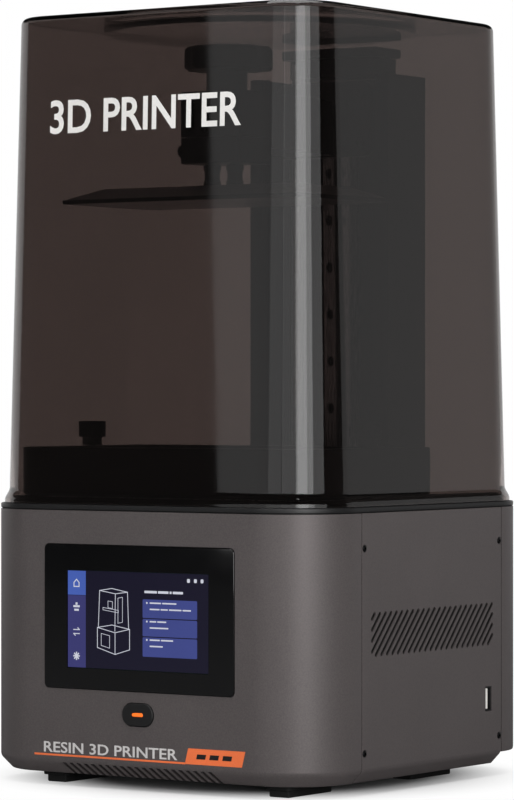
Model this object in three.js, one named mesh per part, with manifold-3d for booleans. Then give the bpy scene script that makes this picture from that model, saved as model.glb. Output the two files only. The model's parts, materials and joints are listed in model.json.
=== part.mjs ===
// Resin printer: painted base, deck with mask screen and vat, Z tower with build platform, lift-off cover.
// Millimetres, +Z up, +X the machine's right side, -Y its front. The origin is the centre of the
// footprint on the surface that the printer stands on.
import * as THREE from 'three';
import { mergeVertices } from 'three/addons/utils/BufferGeometryUtils.js';
import Module from 'manifold-3d';

const wasm = await Module();
wasm.setup();

// ---------------------------------------------------------------- driving dimensions
const fitGap = 0.3; // between pieces that touch
const arcSteps = 8; // facets in a quarter turn of a body corner

const bodyWidth = 211;
const bodyDepth = 211;
const bodyHeight = 132.7; // base skin, from its lower edge to its top
const totalHeight = 389.4; // floor to the cover's top
const bodyCorner = 36.5;
const skin = 2;
const footHeight = 6;
const chamferInset = 6;
const chamferHeight = 6.2;
const seamGap = 0.5;
const panelFrontRoom = 5; // from the end of a front corner to the side panel's seam
const panelRearRoom = 1.5; // the same at the rear
const fittingProud = 0.9; // how far the button and the power socket stand out of the skin

const footLength = 38;
const footWidth = 12;
const footLip = 2; // how far the foot's upper flange is wider all round
const footLipHeight = 2.4;
const footFrontInset = 34.5; // from the base's front to a front foot's middle
const footRearInset = 65.5; // the same at the other sides
const footRightInset = 31.5;
const footLeftInset = 42.5;

const panelScrewDiameter = 3.2;
const panelScrewShank = 2;
const panelScrewLength = 8;
const panelScrewProud = 0.4;
const panelScrewInset = 2.4; // from the seam to the screw's axis
const panelScrewRise = 14.8; // from the skin's lower edge to the lower screws
const panelScrewDrop = 17.3; // from the skin's top to the upper screws

const sideVentMargin = 8.5; // from the panel's seams
const sideVentDrop = 49.1; // from the skin's top to the vent's top
const sideVentHeight = 21.6;
const sideVentPitch = 5.03; // along Y
const sideVentSlot = 2.1;
const sideVentAngle = 47; // degrees from level
const frontVentCount = 21;
const frontVentPitch = 4.5;
const frontVentSlot = 1.9;
const frontVentHeight = 5.2;
const frontVentLean = 32; // degrees from upright
const rearVentCount = 9;
const rearVentSlot = 2.8;
const rearVentEndInset = 5; // from the fan frame's sides to the slots' ends
const rearVentTopInset = 5.2; // from the fan frame's top to the first slot's middle

const bezelSideRoom = 47.2; // from the base's side to the display's glass
const bezelTopRoom = 17.05; // from the skin's top to the glass
const bezelBottomRoom = 43.35; // from the skin's lower edge to the glass
const bezelCorner = 2.5;
const bezelProud = 0.5;
const bezelThickness = 2.6;
const screenSideMargin = 15; // from the glass's side to the lit area
const screenEndMargin = 11.85; // from the glass's top to the lit area
const screenCentreX = -0.4;
const screenDrop = 1.2; // how far the lit area is below the glass's middle
const screenThickness = 1.8;
const boardThickness = 1.6;
const displayBoardMargin = 2; // from the glass's top to the board behind it

const buttonWidth = 19;
const buttonHeight = 11.4;
const buttonRise = 31.9; // from the skin's lower edge to the button's middle
const buttonLength = 7.4;
const buttonTravel = 1;
const buttonLip = 1.2;
const buttonLightWidth = 6.6;
const buttonLightHeight = 1.6;
const buttonLightDepth = 2.5;
const switchThickness = 4;

const usbSeamRoom = 12.9; // from the side panel's rear seam to the socket's middle
const usbRise = 34.4; // from the skin's lower edge to the socket's middle
const usbWidth = 5.7; // along Y
const usbHeight = 12.1; // along Z
const usbDepth = 14;
const usbWall = 0.5;
const usbTongueThickness = 1.9;
const usbTongueRecess = 0.8;

const powerSocketCornerRoom = 17; // from the end of the rear corner to the socket's middle
const powerSocketRise = 30; // from the skin's lower edge to the socket's middle
const powerSocketRadius = 5.5;
const powerSocketDepth = 13;
const powerSocketWall = 1.6;
const powerSocketFloor = 3;
const powerPinRadius = 1;

const deckThickness = 2.5;
const deckSkirtHeight = 8;
const deckSkirtWall = 1.5;
const gasketHeight = 2.4;
const gasketWidth = 2.2;

const lcdSideMargin = 2; // from the basin's side to the mask screen's
const lcdEndMargin = 7; // from the basin's front to the mask screen's
const lcdThickness = 2.6;
const lcdProud = 0.5; // above the deck

const vatSideRoom = 14.5; // from the base's side to the vat
const vatFrontRoom = 18.5; // from the base's front to the vat
const vatTowerRoom = 27; // from the vat to the tower's foot
const vatHeight = 25.6;
const vatCorner = 8;
const basinSideWall = 13;
const basinEndWall = 12;
const basinCorner = 10;
const filmThickness = 0.4;
const filmFrameHeight = 1.1;
const filmFrameWall = 3.5;
const thumbscrewInset = 6; // from the vat's side to the screw's axis
const thumbscrewOffset = 1; // how far the screws are behind the vat's middle
const thumbscrewCapRadius = 7.05;
const thumbscrewCapHeight = 8.4;
const thumbscrewNeckRadius = 5.15;
const thumbscrewNeckHeight = 4.2;
const thumbscrewShankRadius = 2.5;

const platformRoom = 4; // from the basin's wall to the platform
const platformFlange = 2.1;
const platformCrown = 5.9; // height of the sloping top above the flange
const platformSlope = 15; // plan width of the sloping top
const platformDrop = 95.1; // from the cover's top to the platform's underside
const postRadius = 4.5;
const postSpacing = 14.2;
const postHeight = 11.6;
const blockWidth = 36;
const blockDepth = 26;
const blockOffset = 0.6; // how far the block's middle is behind the platform's
const blockHeight = 13.4;
const headHeight = 23.1;
const blockScrewRadius = 3.15;
const blockScrewHead = 3.4;
const blockScrewOffset = 8.6; // how far the screw is ahead of the block's middle
const blockScrewShank = 1.6;
const blockScrewLength = 7;
const knobOffset = 3; // how far the knob is behind the platform's middle
const knobRadius = 22.5;
const knobHeight = 12;
const knobNeckRadius = 10.5;
const knobNeckHeight = 10.9;
const knobLobes = 12;
const knobLobeDepth = 0.9;

const columnWidth = 85.6;
const columnFrontInset = 51.5; // from the base's rear to the column's front
const columnRearInset = 14.5; // from the base's rear to the column's
const columnWall = 2.7;
const columnWeb = 6;
const columnLip = 7.1;
const columnTopRoom = 24.6; // from the cover's top to the column's
const towerFootHeight = 27;
const towerFootWidth = 90;
const towerFootReach = 2; // how far the foot stands out ahead of the column
const railWidth = 12;
const railHeight = 11; // how far the rail stands off the column's web
const railGroove = 1;
const railClearTop = 5;
const carriageWidth = 27;
const carriageLength = 36;
const carriageReach = 4; // how far the carriage wraps down the rail's sides
const carriageClearance = 0.4;
const plateWidth = 60;
const plateThickness = 6;
const plateHeight = 39.6;
const plateCorner = 5;
const plateDrop = 6.2; // how far the carriage plate hangs below the arm's head
const armWidth = 32;
const armRelief = 0.8; // how far the arm's underside is above the carriage plate's
const screwX = -23;
const screwInset = 16; // from the column's front to the screw's axis
const screwRadius = 4;
const screwClearance = 0.5;
const nutSize = 15;
const nutHeight = 16;
const bearingWidth = 52;
const bearingFrontInset = 12; // from the column's front
const bearingRearInset = 3; // from the column's rear
const bearingHeight = 9.7;
const capWidth = 60;
const capFrontInset = 7; // from the column's front
const capHeight = 4.9;

const motorSize = 42.3;
const motorCorner = 5;
const motorHeight = 40;
const motorBossRadius = 11;
const motorBossHeight = 2;
const motorShaftRadius = 2.5;
const motorShaftLength = 12;
const couplerRadius = 9;
const couplerLength = 26;
const couplerDrop = 5; // below the deck

const sinkSideInset = 35; // from the mask screen's side to the heat sink's
const sinkEndInset = 16; // from the mask screen's front to the heat sink's
const sinkHeight = 28;
const sinkBase = 4;
const sinkFins = 10;
const sinkFinThickness = 2;
const sinkRise = 18; // from the skin's lower edge to the heat sink
const ledBoardSideInset = 32; // from the mask screen's side to the board's
const ledBoardEndInset = 21; // from the mask screen's front to the board's
const lensHeight = 4;
const lensMargin = 4;
const housingWall = 2;
const fanDepth = 15;
const fanCornerReach = 3; // how far the fan reaches past the start of the rear corner
const fanMotorRoom = 13.85; // from the motor's side to the fan's
const fanRise = 55; // from the skin's lower edge to the fan's middle
const fanFrameWall = 3; // from a blade's tip to the frame's side
const fanTipClearance = 1.5;
const fanHubShare = 0.2; // the hub's radius over the fan's width
const fanBlades = 7;
const fanBladePitch = 40; // degrees
const mainboardWidth = 84;
const mainboardSinkRoom = 14.2; // from the heat sink to the mainboard
const mainboardFanRoom = 4;
const mainboardCornerGap = 0.69; // from the board's corner to the skin's rounded corner

const coverFootInset = 1.9; // the cover's outer face, in from the base skin, at its flared foot
const coverInset = 4.4; // the same, just above the flare
const coverTaper = 6; // further inset at the cover's top
const coverSkirt = 7.5;
const coverWall = 2.5;
const coverFillet = 3.5;
const coverFilletSteps = 3;
const recessMargin = 28; // from the base's side to the edge of the dished top
const recessDepth = 4.5;
const innerRecessInset = 40.5; // from the dish's edge to the step in its floor
const innerRecessDepth = 0.8;

// ---------------------------------------------------------------- sizes that follow
const halfW = bodyWidth / 2;
const halfD = bodyDepth / 2;
const front = -halfD;
const rear = halfD;
const bodyBottom = footHeight;
const bodyTop = bodyBottom + bodyHeight;
const chamferTop = bodyBottom + chamferHeight;
const deckBottom = bodyTop + fitGap;
const deckTop = deckBottom + deckThickness;
const floorTop = bodyBottom + fitGap + skin; // upper face of the bottom plate

const panelFront = front + bodyCorner + panelFrontRoom; // the side panel's front and rear seams
const panelRear = rear - bodyCorner - panelRearRoom;
const panelScrewLow = bodyBottom + panelScrewRise;
const panelScrewHigh = bodyTop - panelScrewDrop;
const sideVentFront = panelFront + sideVentMargin;
const sideVentRear = panelRear - sideVentMargin;
const sideVentHigh = bodyTop - sideVentDrop;
const sideVentLow = sideVentHigh - sideVentHeight;
const footFrontY = front + footFrontInset;
const footRearY = rear - footRearInset;
const footRightX = halfW - footRightInset;
const footLeftX = footLeftInset - halfW;

const bezelTop = bodyTop - bezelTopRoom;
const bezelBottom = bodyBottom + bezelBottomRoom;
const bezelWidth = bodyWidth - 2 * bezelSideRoom;
const bezelHeight = bezelTop - bezelBottom;
const bezelCentreZ = (bezelTop + bezelBottom) / 2;
const screenWidth = bezelWidth - 2 * screenSideMargin;
const screenHeight = bezelHeight - 2 * screenEndMargin;
const screenCentreZ = bezelCentreZ - screenDrop;
const buttonCentreZ = bodyBottom + buttonRise;
const usbCentreY = panelRear - usbSeamRoom;
const usbCentreZ = bodyBottom + usbRise;
const powerSocketX = bodyCorner + powerSocketCornerRoom - halfW;
const powerSocketZ = bodyBottom + powerSocketRise;

const columnFront = rear - columnFrontInset;
const columnRear = rear - columnRearInset;
const columnTop = totalHeight - columnTopRoom;
const towerFootTop = deckTop + towerFootHeight;
const towerFootFront = columnFront - towerFootReach;
const screwY = columnFront + screwInset;
const bearingFront = columnFront + bearingFrontInset;
const bearingRear = columnRear - bearingRearInset;
const capFront = columnFront + capFrontInset;

const vatFront = front + vatFrontRoom;
const vatRear = towerFootFront - vatTowerRoom;
const vatWidth = bodyWidth - 2 * vatSideRoom;
const vatDepth = vatRear - vatFront;
const workY = (vatFront + vatRear) / 2; // the middle of mask screen, vat and platform
const basinWidth = vatWidth - 2 * basinSideWall;
const basinDepth = vatDepth - 2 * basinEndWall;
const lcdWidth = basinWidth + 2 * lcdSideMargin;
const lcdDepth = basinDepth + 2 * lcdEndMargin;
const lcdTop = deckTop + lcdProud;
const filmFrameBottom = lcdTop + fitGap;
const filmBottom = filmFrameBottom + filmFrameHeight + fitGap;
const vatBottom = filmBottom + filmThickness + fitGap;
const vatTop = vatBottom + vatHeight;
const thumbscrewX = vatWidth / 2 - thumbscrewInset;
const thumbscrewY = workY + thumbscrewOffset;

const platformWidth = basinWidth - 2 * platformRoom;
const platformDepth = basinDepth - 2 * platformRoom;
const platformUnderside = totalHeight - platformDrop;
const flangeTop = platformUnderside + platformFlange;
const crownTop = flangeTop + platformCrown;
const postTop = crownTop + fitGap + postHeight;
const blockBottom = postTop + fitGap;
const blockTop = blockBottom + blockHeight;
const headBottom = blockTop + fitGap;
const headTop = headBottom + headHeight;
const blockY = workY + blockOffset;
const blockFront = blockY - blockDepth / 2;
const blockRear = blockY + blockDepth / 2;
const blockScrewY = blockY - blockScrewOffset;
const knobY = workY + knobOffset;
const plateBottom = headBottom - plateDrop;
const plateFront = columnFront + towerFootReach;
const plateRear = plateFront + plateThickness;
const webFront = columnRear - columnWeb;
const railFront = webFront - fitGap - railHeight;
const bearingBottom = columnTop + fitGap;
const capBottom = bearingBottom + bearingHeight + fitGap;

const couplerTop = deckBottom - couplerDrop;
const couplerBottom = couplerTop - couplerLength;
const motorTop = couplerBottom - fitGap - motorBossHeight;
const sinkWidth = lcdWidth - 2 * sinkSideInset;
const sinkDepth = lcdDepth - 2 * sinkEndInset;
const sinkBottom = bodyBottom + sinkRise;
const ledBoardWidth = lcdWidth - 2 * ledBoardSideInset;
const ledBoardDepth = lcdDepth - 2 * ledBoardEndInset;
const fanLeft = screwX + motorSize / 2 + fanMotorRoom;
const fanRight = halfW - bodyCorner + fanCornerReach;
const fanSize = fanRight - fanLeft;
const fanX = (fanLeft + fanRight) / 2;
const fanZ = bodyBottom + fanRise;
const fanBladeReach = fanSize / 2 - fanFrameWall;
const fanHubRadius = fanSize * fanHubShare;
const rearVentLength = fanSize - 2 * rearVentEndInset;
const rearVentPitch = (fanSize - 2 * rearVentTopInset) / (rearVentCount - 1);
const recessRadius = Math.min(halfW, halfD) - recessMargin;
const innerRecessRadius = recessRadius - innerRecessInset;

// ---------------------------------------------------------------- solids: making, cutting and joining
function toSolid(geometry) {
  const bare = geometry.clone();
  bare.deleteAttribute('normal');
  bare.deleteAttribute('uv');
  const merged = mergeVertices(bare, 1e-4);
  return new wasm.Manifold(new wasm.Mesh({
    numProp: 3,
    vertProperties: Float32Array.from(merged.attributes.position.array),
    triVerts: Uint32Array.from(merged.index.array),
  }));
}

function toGeometry(solid) {
  const mesh = solid.getMesh();
  const geometry = new THREE.BufferGeometry();
  geometry.setAttribute('position', new THREE.BufferAttribute(Float32Array.from(mesh.vertProperties), 3));
  geometry.setIndex(new THREE.BufferAttribute(Uint32Array.from(mesh.triVerts), 1));
  return geometry;
}

function join(...pieces) {
  return toGeometry(pieces.map(toSolid).reduce((sum, next) => sum.add(next)));
}

function cut(base, ...tools) {
  return toGeometry(tools.map(toSolid).reduce((left, tool) => left.subtract(tool), toSolid(base)));
}

function common(base, tool) {
  return toGeometry(toSolid(base).intersect(toSolid(tool)));
}

/** A box between two corners. */
function box(x0, x1, y0, y1, z0, z1) {
  const geometry = new THREE.BoxGeometry(x1 - x0, y1 - y0, z1 - z0);
  return geometry.translate((x0 + x1) / 2, (y0 + y1) / 2, (z0 + z1) / 2);
}

/** An upright cylinder. */
function cylinder(x, y, z0, z1, radius, segments = 24) {
  const geometry = new THREE.CylinderGeometry(radius, radius, z1 - z0, segments);
  return geometry.rotateX(Math.PI / 2).translate(x, y, (z0 + z1) / 2);
}

/** A turned solid about Z from [radius, height] points that start and end on the axis. */
function turned(profile, segments = 24) {
  const points = profile.map(([radius, height]) => new THREE.Vector2(radius, height));
  return new THREE.LatheGeometry(points, segments).rotateX(Math.PI / 2);
}

/** Points of a rectangle with round corners, anticlockwise. */
function roundedOutline(width, depth, radius, steps = arcSteps) {
  const points = [];
  for (let corner = 0; corner < 4; corner += 1) {
    const sx = corner === 0 || corner === 3 ? 1 : -1;
    const sy = corner < 2 ? 1 : -1;
    for (let step = 0; step <= steps; step += 1) {
      const angle = (Math.PI / 2) * (corner + step / steps);
      const x = sx * (width / 2 - radius) + radius * Math.cos(angle);
      const y = sy * (depth / 2 - radius) + radius * Math.sin(angle);
      points.push(new THREE.Vector2(x, y));
    }
  }
  return points;
}

/** A convex solid through rounded rectangles, one for each level, lowest first. */
function loft(levels, steps = arcSteps) {
  const rings = levels.map(({ z, width, depth, radius, y = 0 }) => (
    roundedOutline(width, depth, radius, steps).map((point) => [point.x, point.y + y, z])
  ));
  const count = rings[0].length;
  const last = levels.length - 1;
  const positions = rings.flat(2);
  positions.push(0, levels[0].y ?? 0, levels[0].z, 0, levels[last].y ?? 0, levels[last].z);
  const bottomCentre = rings.length * count;
  const index = [];
  for (let i = 0; i < count; i += 1) {
    const j = (i + 1) % count;
    index.push(bottomCentre, j, i, bottomCentre + 1, last * count + i, last * count + j);
    for (let level = 0; level < last; level += 1) {
      const low = level * count;
      const high = low + count;
      index.push(low + i, low + j, high + j, low + i, high + j, high + i);
    }
  }
  const geometry = new THREE.BufferGeometry();
  geometry.setAttribute('position', new THREE.BufferAttribute(Float32Array.from(positions), 3));
  geometry.setIndex(index);
  return geometry;
}

/** An upright prism over a list of outline points. */
function prism(points, z0, z1) {
  const shape = new THREE.Shape(points);
  return new THREE.ExtrudeGeometry(shape, { depth: z1 - z0, bevelEnabled: false }).translate(0, 0, z0);
}

/** A plate with round corners that faces the front: width along X, height along Z, from y0 back to y1. */
function facePlate(width, height, radius, x, z, y0, y1, steps = 4) {
  const plate = prism(roundedOutline(width, height, radius, steps), y0, y1);
  return alongY(plate, x, 0, z);
}

/** Turns a solid made about Z so that its axis lies along +Y, then puts its origin at a point. */
function alongY(geometry, x, y, z) {
  return geometry.rotateX(-Math.PI / 2).translate(x, y, z);
}

/** The same along +X. */
function alongX(geometry, x, y, z) {
  return geometry.rotateY(Math.PI / 2).translate(x, y, z);
}

/** One level of the base's outline, drawn in by an inset. */
function bodyLevel(z, inset) {
  return { z, width: bodyWidth - 2 * inset, depth: bodyDepth - 2 * inset, radius: bodyCorner - inset };
}

/** A rectangle level about the work area's middle. */
function workLevel(z, width, depth, radius) {
  return { z, width, depth, radius, y: workY };
}

// ---------------------------------------------------------------- materials
function finish(colour, roughness, metalness = 0) {
  return new THREE.MeshStandardMaterial({ color: colour, roughness, metalness });
}

const paint = finish(0x5a5455, 0.55, 0.3);
const blackPlastic = finish(0x151515, 0.5);
const blackMetal = finish(0x1c1c1c, 0.4, 0.6);
const rubber = finish(0x101010, 0.9);
const glossGlass = finish(0x08080a, 0.08);
const steel = finish(0xb8b8ba, 0.3, 1);
const aluminium = finish(0xa8a8aa, 0.4, 1);
const boardGreen = finish(0x1d4a2c, 0.6);
const clear = finish(0xcfd6d8, 0.1);
const light = finish(0xff7a1a, 0.4);
const smoke = finish(0x3a3230, 0.08);

const printer = new THREE.Group();

function addPart(group, name, geometry, material) {
  const mesh = new THREE.Mesh(geometry, material);
  mesh.name = name;
  group.add(mesh);
}

// ---------------------------------------------------------------- base skin
const base = new THREE.Group();
printer.add(base);

/** The base's skin as one ring, open at its top and bottom, with an even wall down the chamfer. */
function skinRing() {
  const slantWall = (skin * Math.hypot(chamferInset, chamferHeight)) / chamferHeight;
  const rise = chamferHeight * (1 + (slantWall - skin) / chamferInset);
  const below = 1;
  const outer = loft([bodyLevel(bodyBottom, chamferInset), bodyLevel(chamferTop, 0), bodyLevel(bodyTop, 0)]);
  const inner = loft([
    bodyLevel(bodyBottom - below, chamferInset * (1 + below / chamferHeight) + slantWall),
    bodyLevel(bodyBottom + rise, skin),
    bodyLevel(bodyTop + below, skin),
  ]);
  return cut(outer, inner);
}

const ring = skinRing();
const reach = Math.max(bodyWidth, bodyDepth);
const aboveAll = totalHeight + reach;

/** The hole through the front skin for a plate of this size. */
function frontHole(width, height, radius, x, z) {
  const hole = facePlate(width + 2 * fitGap, height + 2 * fitGap, radius + fitGap, x, z, 0, 4 * skin);
  return hole.translate(0, front - skin, 0);
}

function frontVents() {
  const slots = [];
  const middle = chamferTop - fitGap - frontVentHeight / 2;
  for (let i = 0; i < frontVentCount; i += 1) {
    const x = (i - (frontVentCount - 1) / 2) * frontVentPitch;
    const slot = new THREE.BoxGeometry(frontVentSlot, 4 * chamferInset, 4 * frontVentHeight);
    slot.rotateY(THREE.MathUtils.degToRad(-frontVentLean)).translate(x, front, middle);
    slots.push(slot);
  }
  const band = box(
    -halfW, halfW, front - skin, front + 2 * chamferInset, bodyBottom - skin, chamferTop - fitGap,
  );
  return slots.map((slot) => common(slot, band));
}

const frontHalf = box(-reach, reach, -reach, panelFront - seamGap / 2, -reach, aboveAll);
addPart(base, 'front_shell', cut(
  common(ring, frontHalf),
  frontHole(bezelWidth, bezelHeight, bezelCorner, 0, bezelCentreZ),
  frontHole(buttonWidth, buttonHeight, buttonHeight / 2, 0, buttonCentreZ),
  ...frontVents(),
), paint);

function rearVents() {
  const slots = [];
  for (let i = 0; i < rearVentCount; i += 1) {
    const z = fanZ + (i - (rearVentCount - 1) / 2) * rearVentPitch;
    slots.push(box(
      fanX - rearVentLength / 2, fanX + rearVentLength / 2, rear - 2 * skin, rear + skin,
      z - rearVentSlot / 2, z + rearVentSlot / 2,
    ));
  }
  return slots;
}

const powerHole = alongY(
  cylinder(0, 0, 0, 3 * skin, powerSocketRadius + fitGap), powerSocketX, rear - 2 * skin, powerSocketZ,
);
addPart(base, 'rear_shell', cut(
  common(ring, box(-reach, reach, panelRear + seamGap / 2, reach, chamferTop, aboveAll)),
  powerHole,
  ...rearVents(),
), paint);

/** Slanted slots clipped to the vent's rectangle, in the panel at this side. */
function sideVents(side) {
  const angle = THREE.MathUtils.degToRad(sideVentAngle);
  const height = sideVentHigh - sideVentLow;
  const lean = height / Math.tan(angle);
  const middleZ = (sideVentLow + sideVentHigh) / 2;
  const count = Math.floor((sideVentRear - sideVentFront + lean) / sideVentPitch);
  const window = box(
    side * halfW - 3 * skin, side * halfW + 3 * skin, sideVentFront, sideVentRear, sideVentLow, sideVentHigh,
  );
  const slots = [];
  for (let i = 0; i < count; i += 1) {
    const y = sideVentFront - lean / 2 + (i + 0.7) * sideVentPitch;
    const slot = new THREE.BoxGeometry(2 * skin, 3 * height, sideVentSlot);
    slot.rotateX(angle).translate(side * halfW, y, middleZ);
    slots.push(common(slot, window));
  }
  return slots;
}

const panelScrewPlaces = [];
for (const [end, y] of [['front', panelFront + panelScrewInset], ['rear', panelRear - panelScrewInset]]) {
  for (const [level, z] of [['low', panelScrewLow], ['high', panelScrewHigh]]) {
    panelScrewPlaces.push({ place: `${end}_${level}`, y, z });
  }
}

function panelScrew(side, y, z) {
  const outer = halfW + panelScrewProud;
  const headRadius = panelScrewDiameter / 2;
  const shoulder = panelScrewLength - skin + panelScrewProud;
  const shape = turned([
    [0, 0],
    [panelScrewShank / 2, 0],
    [panelScrewShank / 2, shoulder],
    [headRadius, shoulder],
    [headRadius, panelScrewLength - panelScrewProud],
    [headRadius * 0.75, panelScrewLength],
    [0, panelScrewLength],
  ], 16);
  const screw = alongX(shape, outer - panelScrewLength, y, z);
  return side > 0 ? screw : screw.rotateZ(Math.PI).translate(0, 2 * y, 0);
}

function sidePanel(side) {
  const region = side > 0 ? [0, reach] : [-reach, 0];
  const blank = common(ring, box(
    ...region, panelFront + seamGap / 2, panelRear - seamGap / 2, -reach, aboveAll,
  ));
  const holes = panelScrewPlaces.map(({ y, z }) => alongX(
    cylinder(0, 0, -3 * skin, 3 * skin, panelScrewDiameter / 2 + fitGap, 16), side * halfW, y, z,
  ));
  return cut(blank, ...holes, ...sideVents(side));
}

const usbHole = box(
  halfW - 3 * skin, halfW + 3 * skin,
  usbCentreY - usbWidth / 2 - fitGap, usbCentreY + usbWidth / 2 + fitGap,
  usbCentreZ - usbHeight / 2 - fitGap, usbCentreZ + usbHeight / 2 + fitGap,
);
addPart(base, 'right_side_panel', cut(sidePanel(1), usbHole), paint);
addPart(base, 'left_side_panel', sidePanel(-1), paint);
for (const [name, side] of [['right', 1], ['left', -1]]) {
  for (const { place, y, z } of panelScrewPlaces) {
    addPart(base, `panel_screw_${name}_${place}`, panelScrew(side, y, z), blackMetal);
  }
}

const floorInset = chamferInset + skin * 2;
addPart(base, 'bottom_plate', loft([
  bodyLevel(bodyBottom + fitGap, floorInset),
  bodyLevel(floorTop, floorInset),
]), blackMetal);

const lipWidth = footWidth + 2 * footLip;
const lipLength = footLength + 2 * footLip;
for (const [endName, y] of [['front', footFrontY], ['rear', footRearY]]) {
  for (const [sideName, x] of [['left', footLeftX], ['right', footRightX]]) {
    const pad = loft([
      { z: 0, width: footWidth - 1, depth: footLength - 1, radius: 2 },
      { z: 0.5, width: footWidth, depth: footLength, radius: 2.5 },
      { z: footHeight - footLipHeight + 0.5, width: footWidth, depth: footLength, radius: 2.5 },
    ], 3);
    const lip = loft([
      { z: footHeight - footLipHeight, width: lipWidth, depth: lipLength, radius: 3 },
      { z: footHeight, width: lipWidth, depth: lipLength, radius: 3 },
    ], 3);
    addPart(base, `foot_${endName}_${sideName}`, join(pad, lip).translate(x, y, 0), rubber);
  }
}

// ---------------------------------------------------------------- display, button and sockets
const glassFront = front - bezelProud;
addPart(base, 'display_bezel', cut(
  facePlate(bezelWidth, bezelHeight, bezelCorner, 0, bezelCentreZ, glassFront, glassFront + bezelThickness),
  box(
    screenCentreX - screenWidth / 2 - fitGap, screenCentreX + screenWidth / 2 + fitGap,
    glassFront - skin, glassFront + 2 * bezelThickness,
    screenCentreZ - screenHeight / 2 - fitGap, screenCentreZ + screenHeight / 2 + fitGap,
  ),
), glossGlass);
addPart(base, 'display_screen', box(
  screenCentreX - screenWidth / 2, screenCentreX + screenWidth / 2,
  glassFront + fitGap, glassFront + fitGap + screenThickness,
  screenCentreZ - screenHeight / 2, screenCentreZ + screenHeight / 2,
), glossGlass);
const displayBoardY = glassFront + bezelThickness + fitGap;
addPart(base, 'display_board', box(
  -bezelWidth / 2, bezelWidth / 2, displayBoardY, displayBoardY + boardThickness,
  bezelBottom + displayBoardMargin, bezelTop - displayBoardMargin,
), boardGreen);

const buttonFront = front - fittingProud;
const buttonRear = buttonFront + buttonLength;
const lipFront = front + skin + fitGap;
function powerButton() {
  const cap = facePlate(
    buttonWidth, buttonHeight, buttonHeight / 2 - 0.01, 0, buttonCentreZ, buttonFront, buttonRear,
  );
  const lip = facePlate(
    buttonWidth + 2 * buttonLip, buttonHeight + 2 * buttonLip, buttonHeight / 2, 0, buttonCentreZ,
    lipFront, lipFront + buttonLip,
  );
  const pocket = facePlate(
    buttonLightWidth + 2 * fitGap, buttonLightHeight + 2 * fitGap, buttonLightHeight / 2 + fitGap / 2,
    0, buttonCentreZ, buttonFront - skin, buttonFront + buttonLightDepth + fitGap,
  );
  return cut(join(cap, lip), pocket);
}
addPart(base, 'power_button', powerButton(), blackPlastic);
addPart(base, 'button_light', facePlate(
  buttonLightWidth, buttonLightHeight, buttonLightHeight / 2 - 0.01, 0, buttonCentreZ,
  buttonFront, buttonFront + buttonLightDepth,
), light);
const switchFront = buttonRear + buttonTravel + fitGap;
addPart(base, 'button_switch', box(
  -buttonWidth / 2, buttonWidth / 2, switchFront, switchFront + switchThickness,
  buttonCentreZ - buttonHeight / 2, buttonCentreZ + buttonHeight / 2,
), boardGreen);

const usbFront = halfW - fitGap;
function usbShell() {
  const outer = box(
    usbFront - usbDepth, usbFront, usbCentreY - usbWidth / 2, usbCentreY + usbWidth / 2,
    usbCentreZ - usbHeight / 2, usbCentreZ + usbHeight / 2,
  );
  const bore = box(
    usbFront - usbDepth + usbWall, usbFront + skin,
    usbCentreY - usbWidth / 2 + usbWall, usbCentreY + usbWidth / 2 - usbWall,
    usbCentreZ - usbHeight / 2 + usbWall, usbCentreZ + usbHeight / 2 - usbWall,
  );
  return cut(outer, bore);
}
addPart(base, 'usb_socket', usbShell(), blackPlastic);
addPart(base, 'usb_tongue', box(
  usbFront - usbDepth + usbWall + fitGap, usbFront - usbTongueRecess,
  usbCentreY - usbTongueThickness / 2, usbCentreY + usbTongueThickness / 2,
  usbCentreZ - usbHeight / 2 + usbWall + fitGap, usbCentreZ + usbHeight / 2 - usbWall - fitGap,
), steel);

const powerSocketShape = cut(
  cylinder(0, 0, 0, powerSocketDepth, powerSocketRadius),
  cylinder(0, 0, powerSocketFloor, powerSocketDepth + 1, powerSocketRadius - powerSocketWall),
);
const powerPin = cylinder(0, 0, powerSocketFloor - 1, powerSocketDepth - 2, powerPinRadius, 12);
addPart(base, 'power_socket', alongY(
  join(powerSocketShape, powerPin), powerSocketX, rear + fittingProud - powerSocketDepth, powerSocketZ,
), blackPlastic);

// ---------------------------------------------------------------- light engine and electronics
const engine = new THREE.Group();
printer.add(engine);

function heatSink() {
  const baseBottom = sinkBottom + sinkHeight - sinkBase;
  const pitch = (sinkWidth - sinkFinThickness) / (sinkFins - 1);
  const sinkFront = workY - sinkDepth / 2;
  const sinkRear = workY + sinkDepth / 2;
  const pieces = [box(-sinkWidth / 2, sinkWidth / 2, sinkFront, sinkRear, baseBottom, baseBottom + sinkBase)];
  for (let i = 0; i < sinkFins; i += 1) {
    const x = -sinkWidth / 2 + i * pitch;
    pieces.push(box(x, x + sinkFinThickness, sinkFront, sinkRear, sinkBottom, baseBottom + sinkBase / 2));
  }
  return join(...pieces);
}
addPart(engine, 'heat_sink', heatSink(), aluminium);
const ledBoardBottom = sinkBottom + sinkHeight + fitGap;
addPart(engine, 'led_board', box(
  -ledBoardWidth / 2, ledBoardWidth / 2, workY - ledBoardDepth / 2, workY + ledBoardDepth / 2,
  ledBoardBottom, ledBoardBottom + boardThickness,
), boardGreen);
const lensBottom = ledBoardBottom + boardThickness + fitGap;
const lensWidth = ledBoardWidth - 2 * lensMargin;
const lensDepth = ledBoardDepth - 2 * lensMargin;
addPart(engine, 'led_lens', loft([
  workLevel(lensBottom, lensWidth, lensDepth, 3),
  workLevel(lensBottom + lensHeight * 0.6, lensWidth, lensDepth, 3),
  workLevel(lensBottom + lensHeight, lensWidth - lensHeight, lensDepth - lensHeight, 2),
], 3), clear);
const housingBottom = lensBottom + lensHeight + fitGap;
const housingTop = lcdTop - lcdThickness - fitGap;
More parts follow.
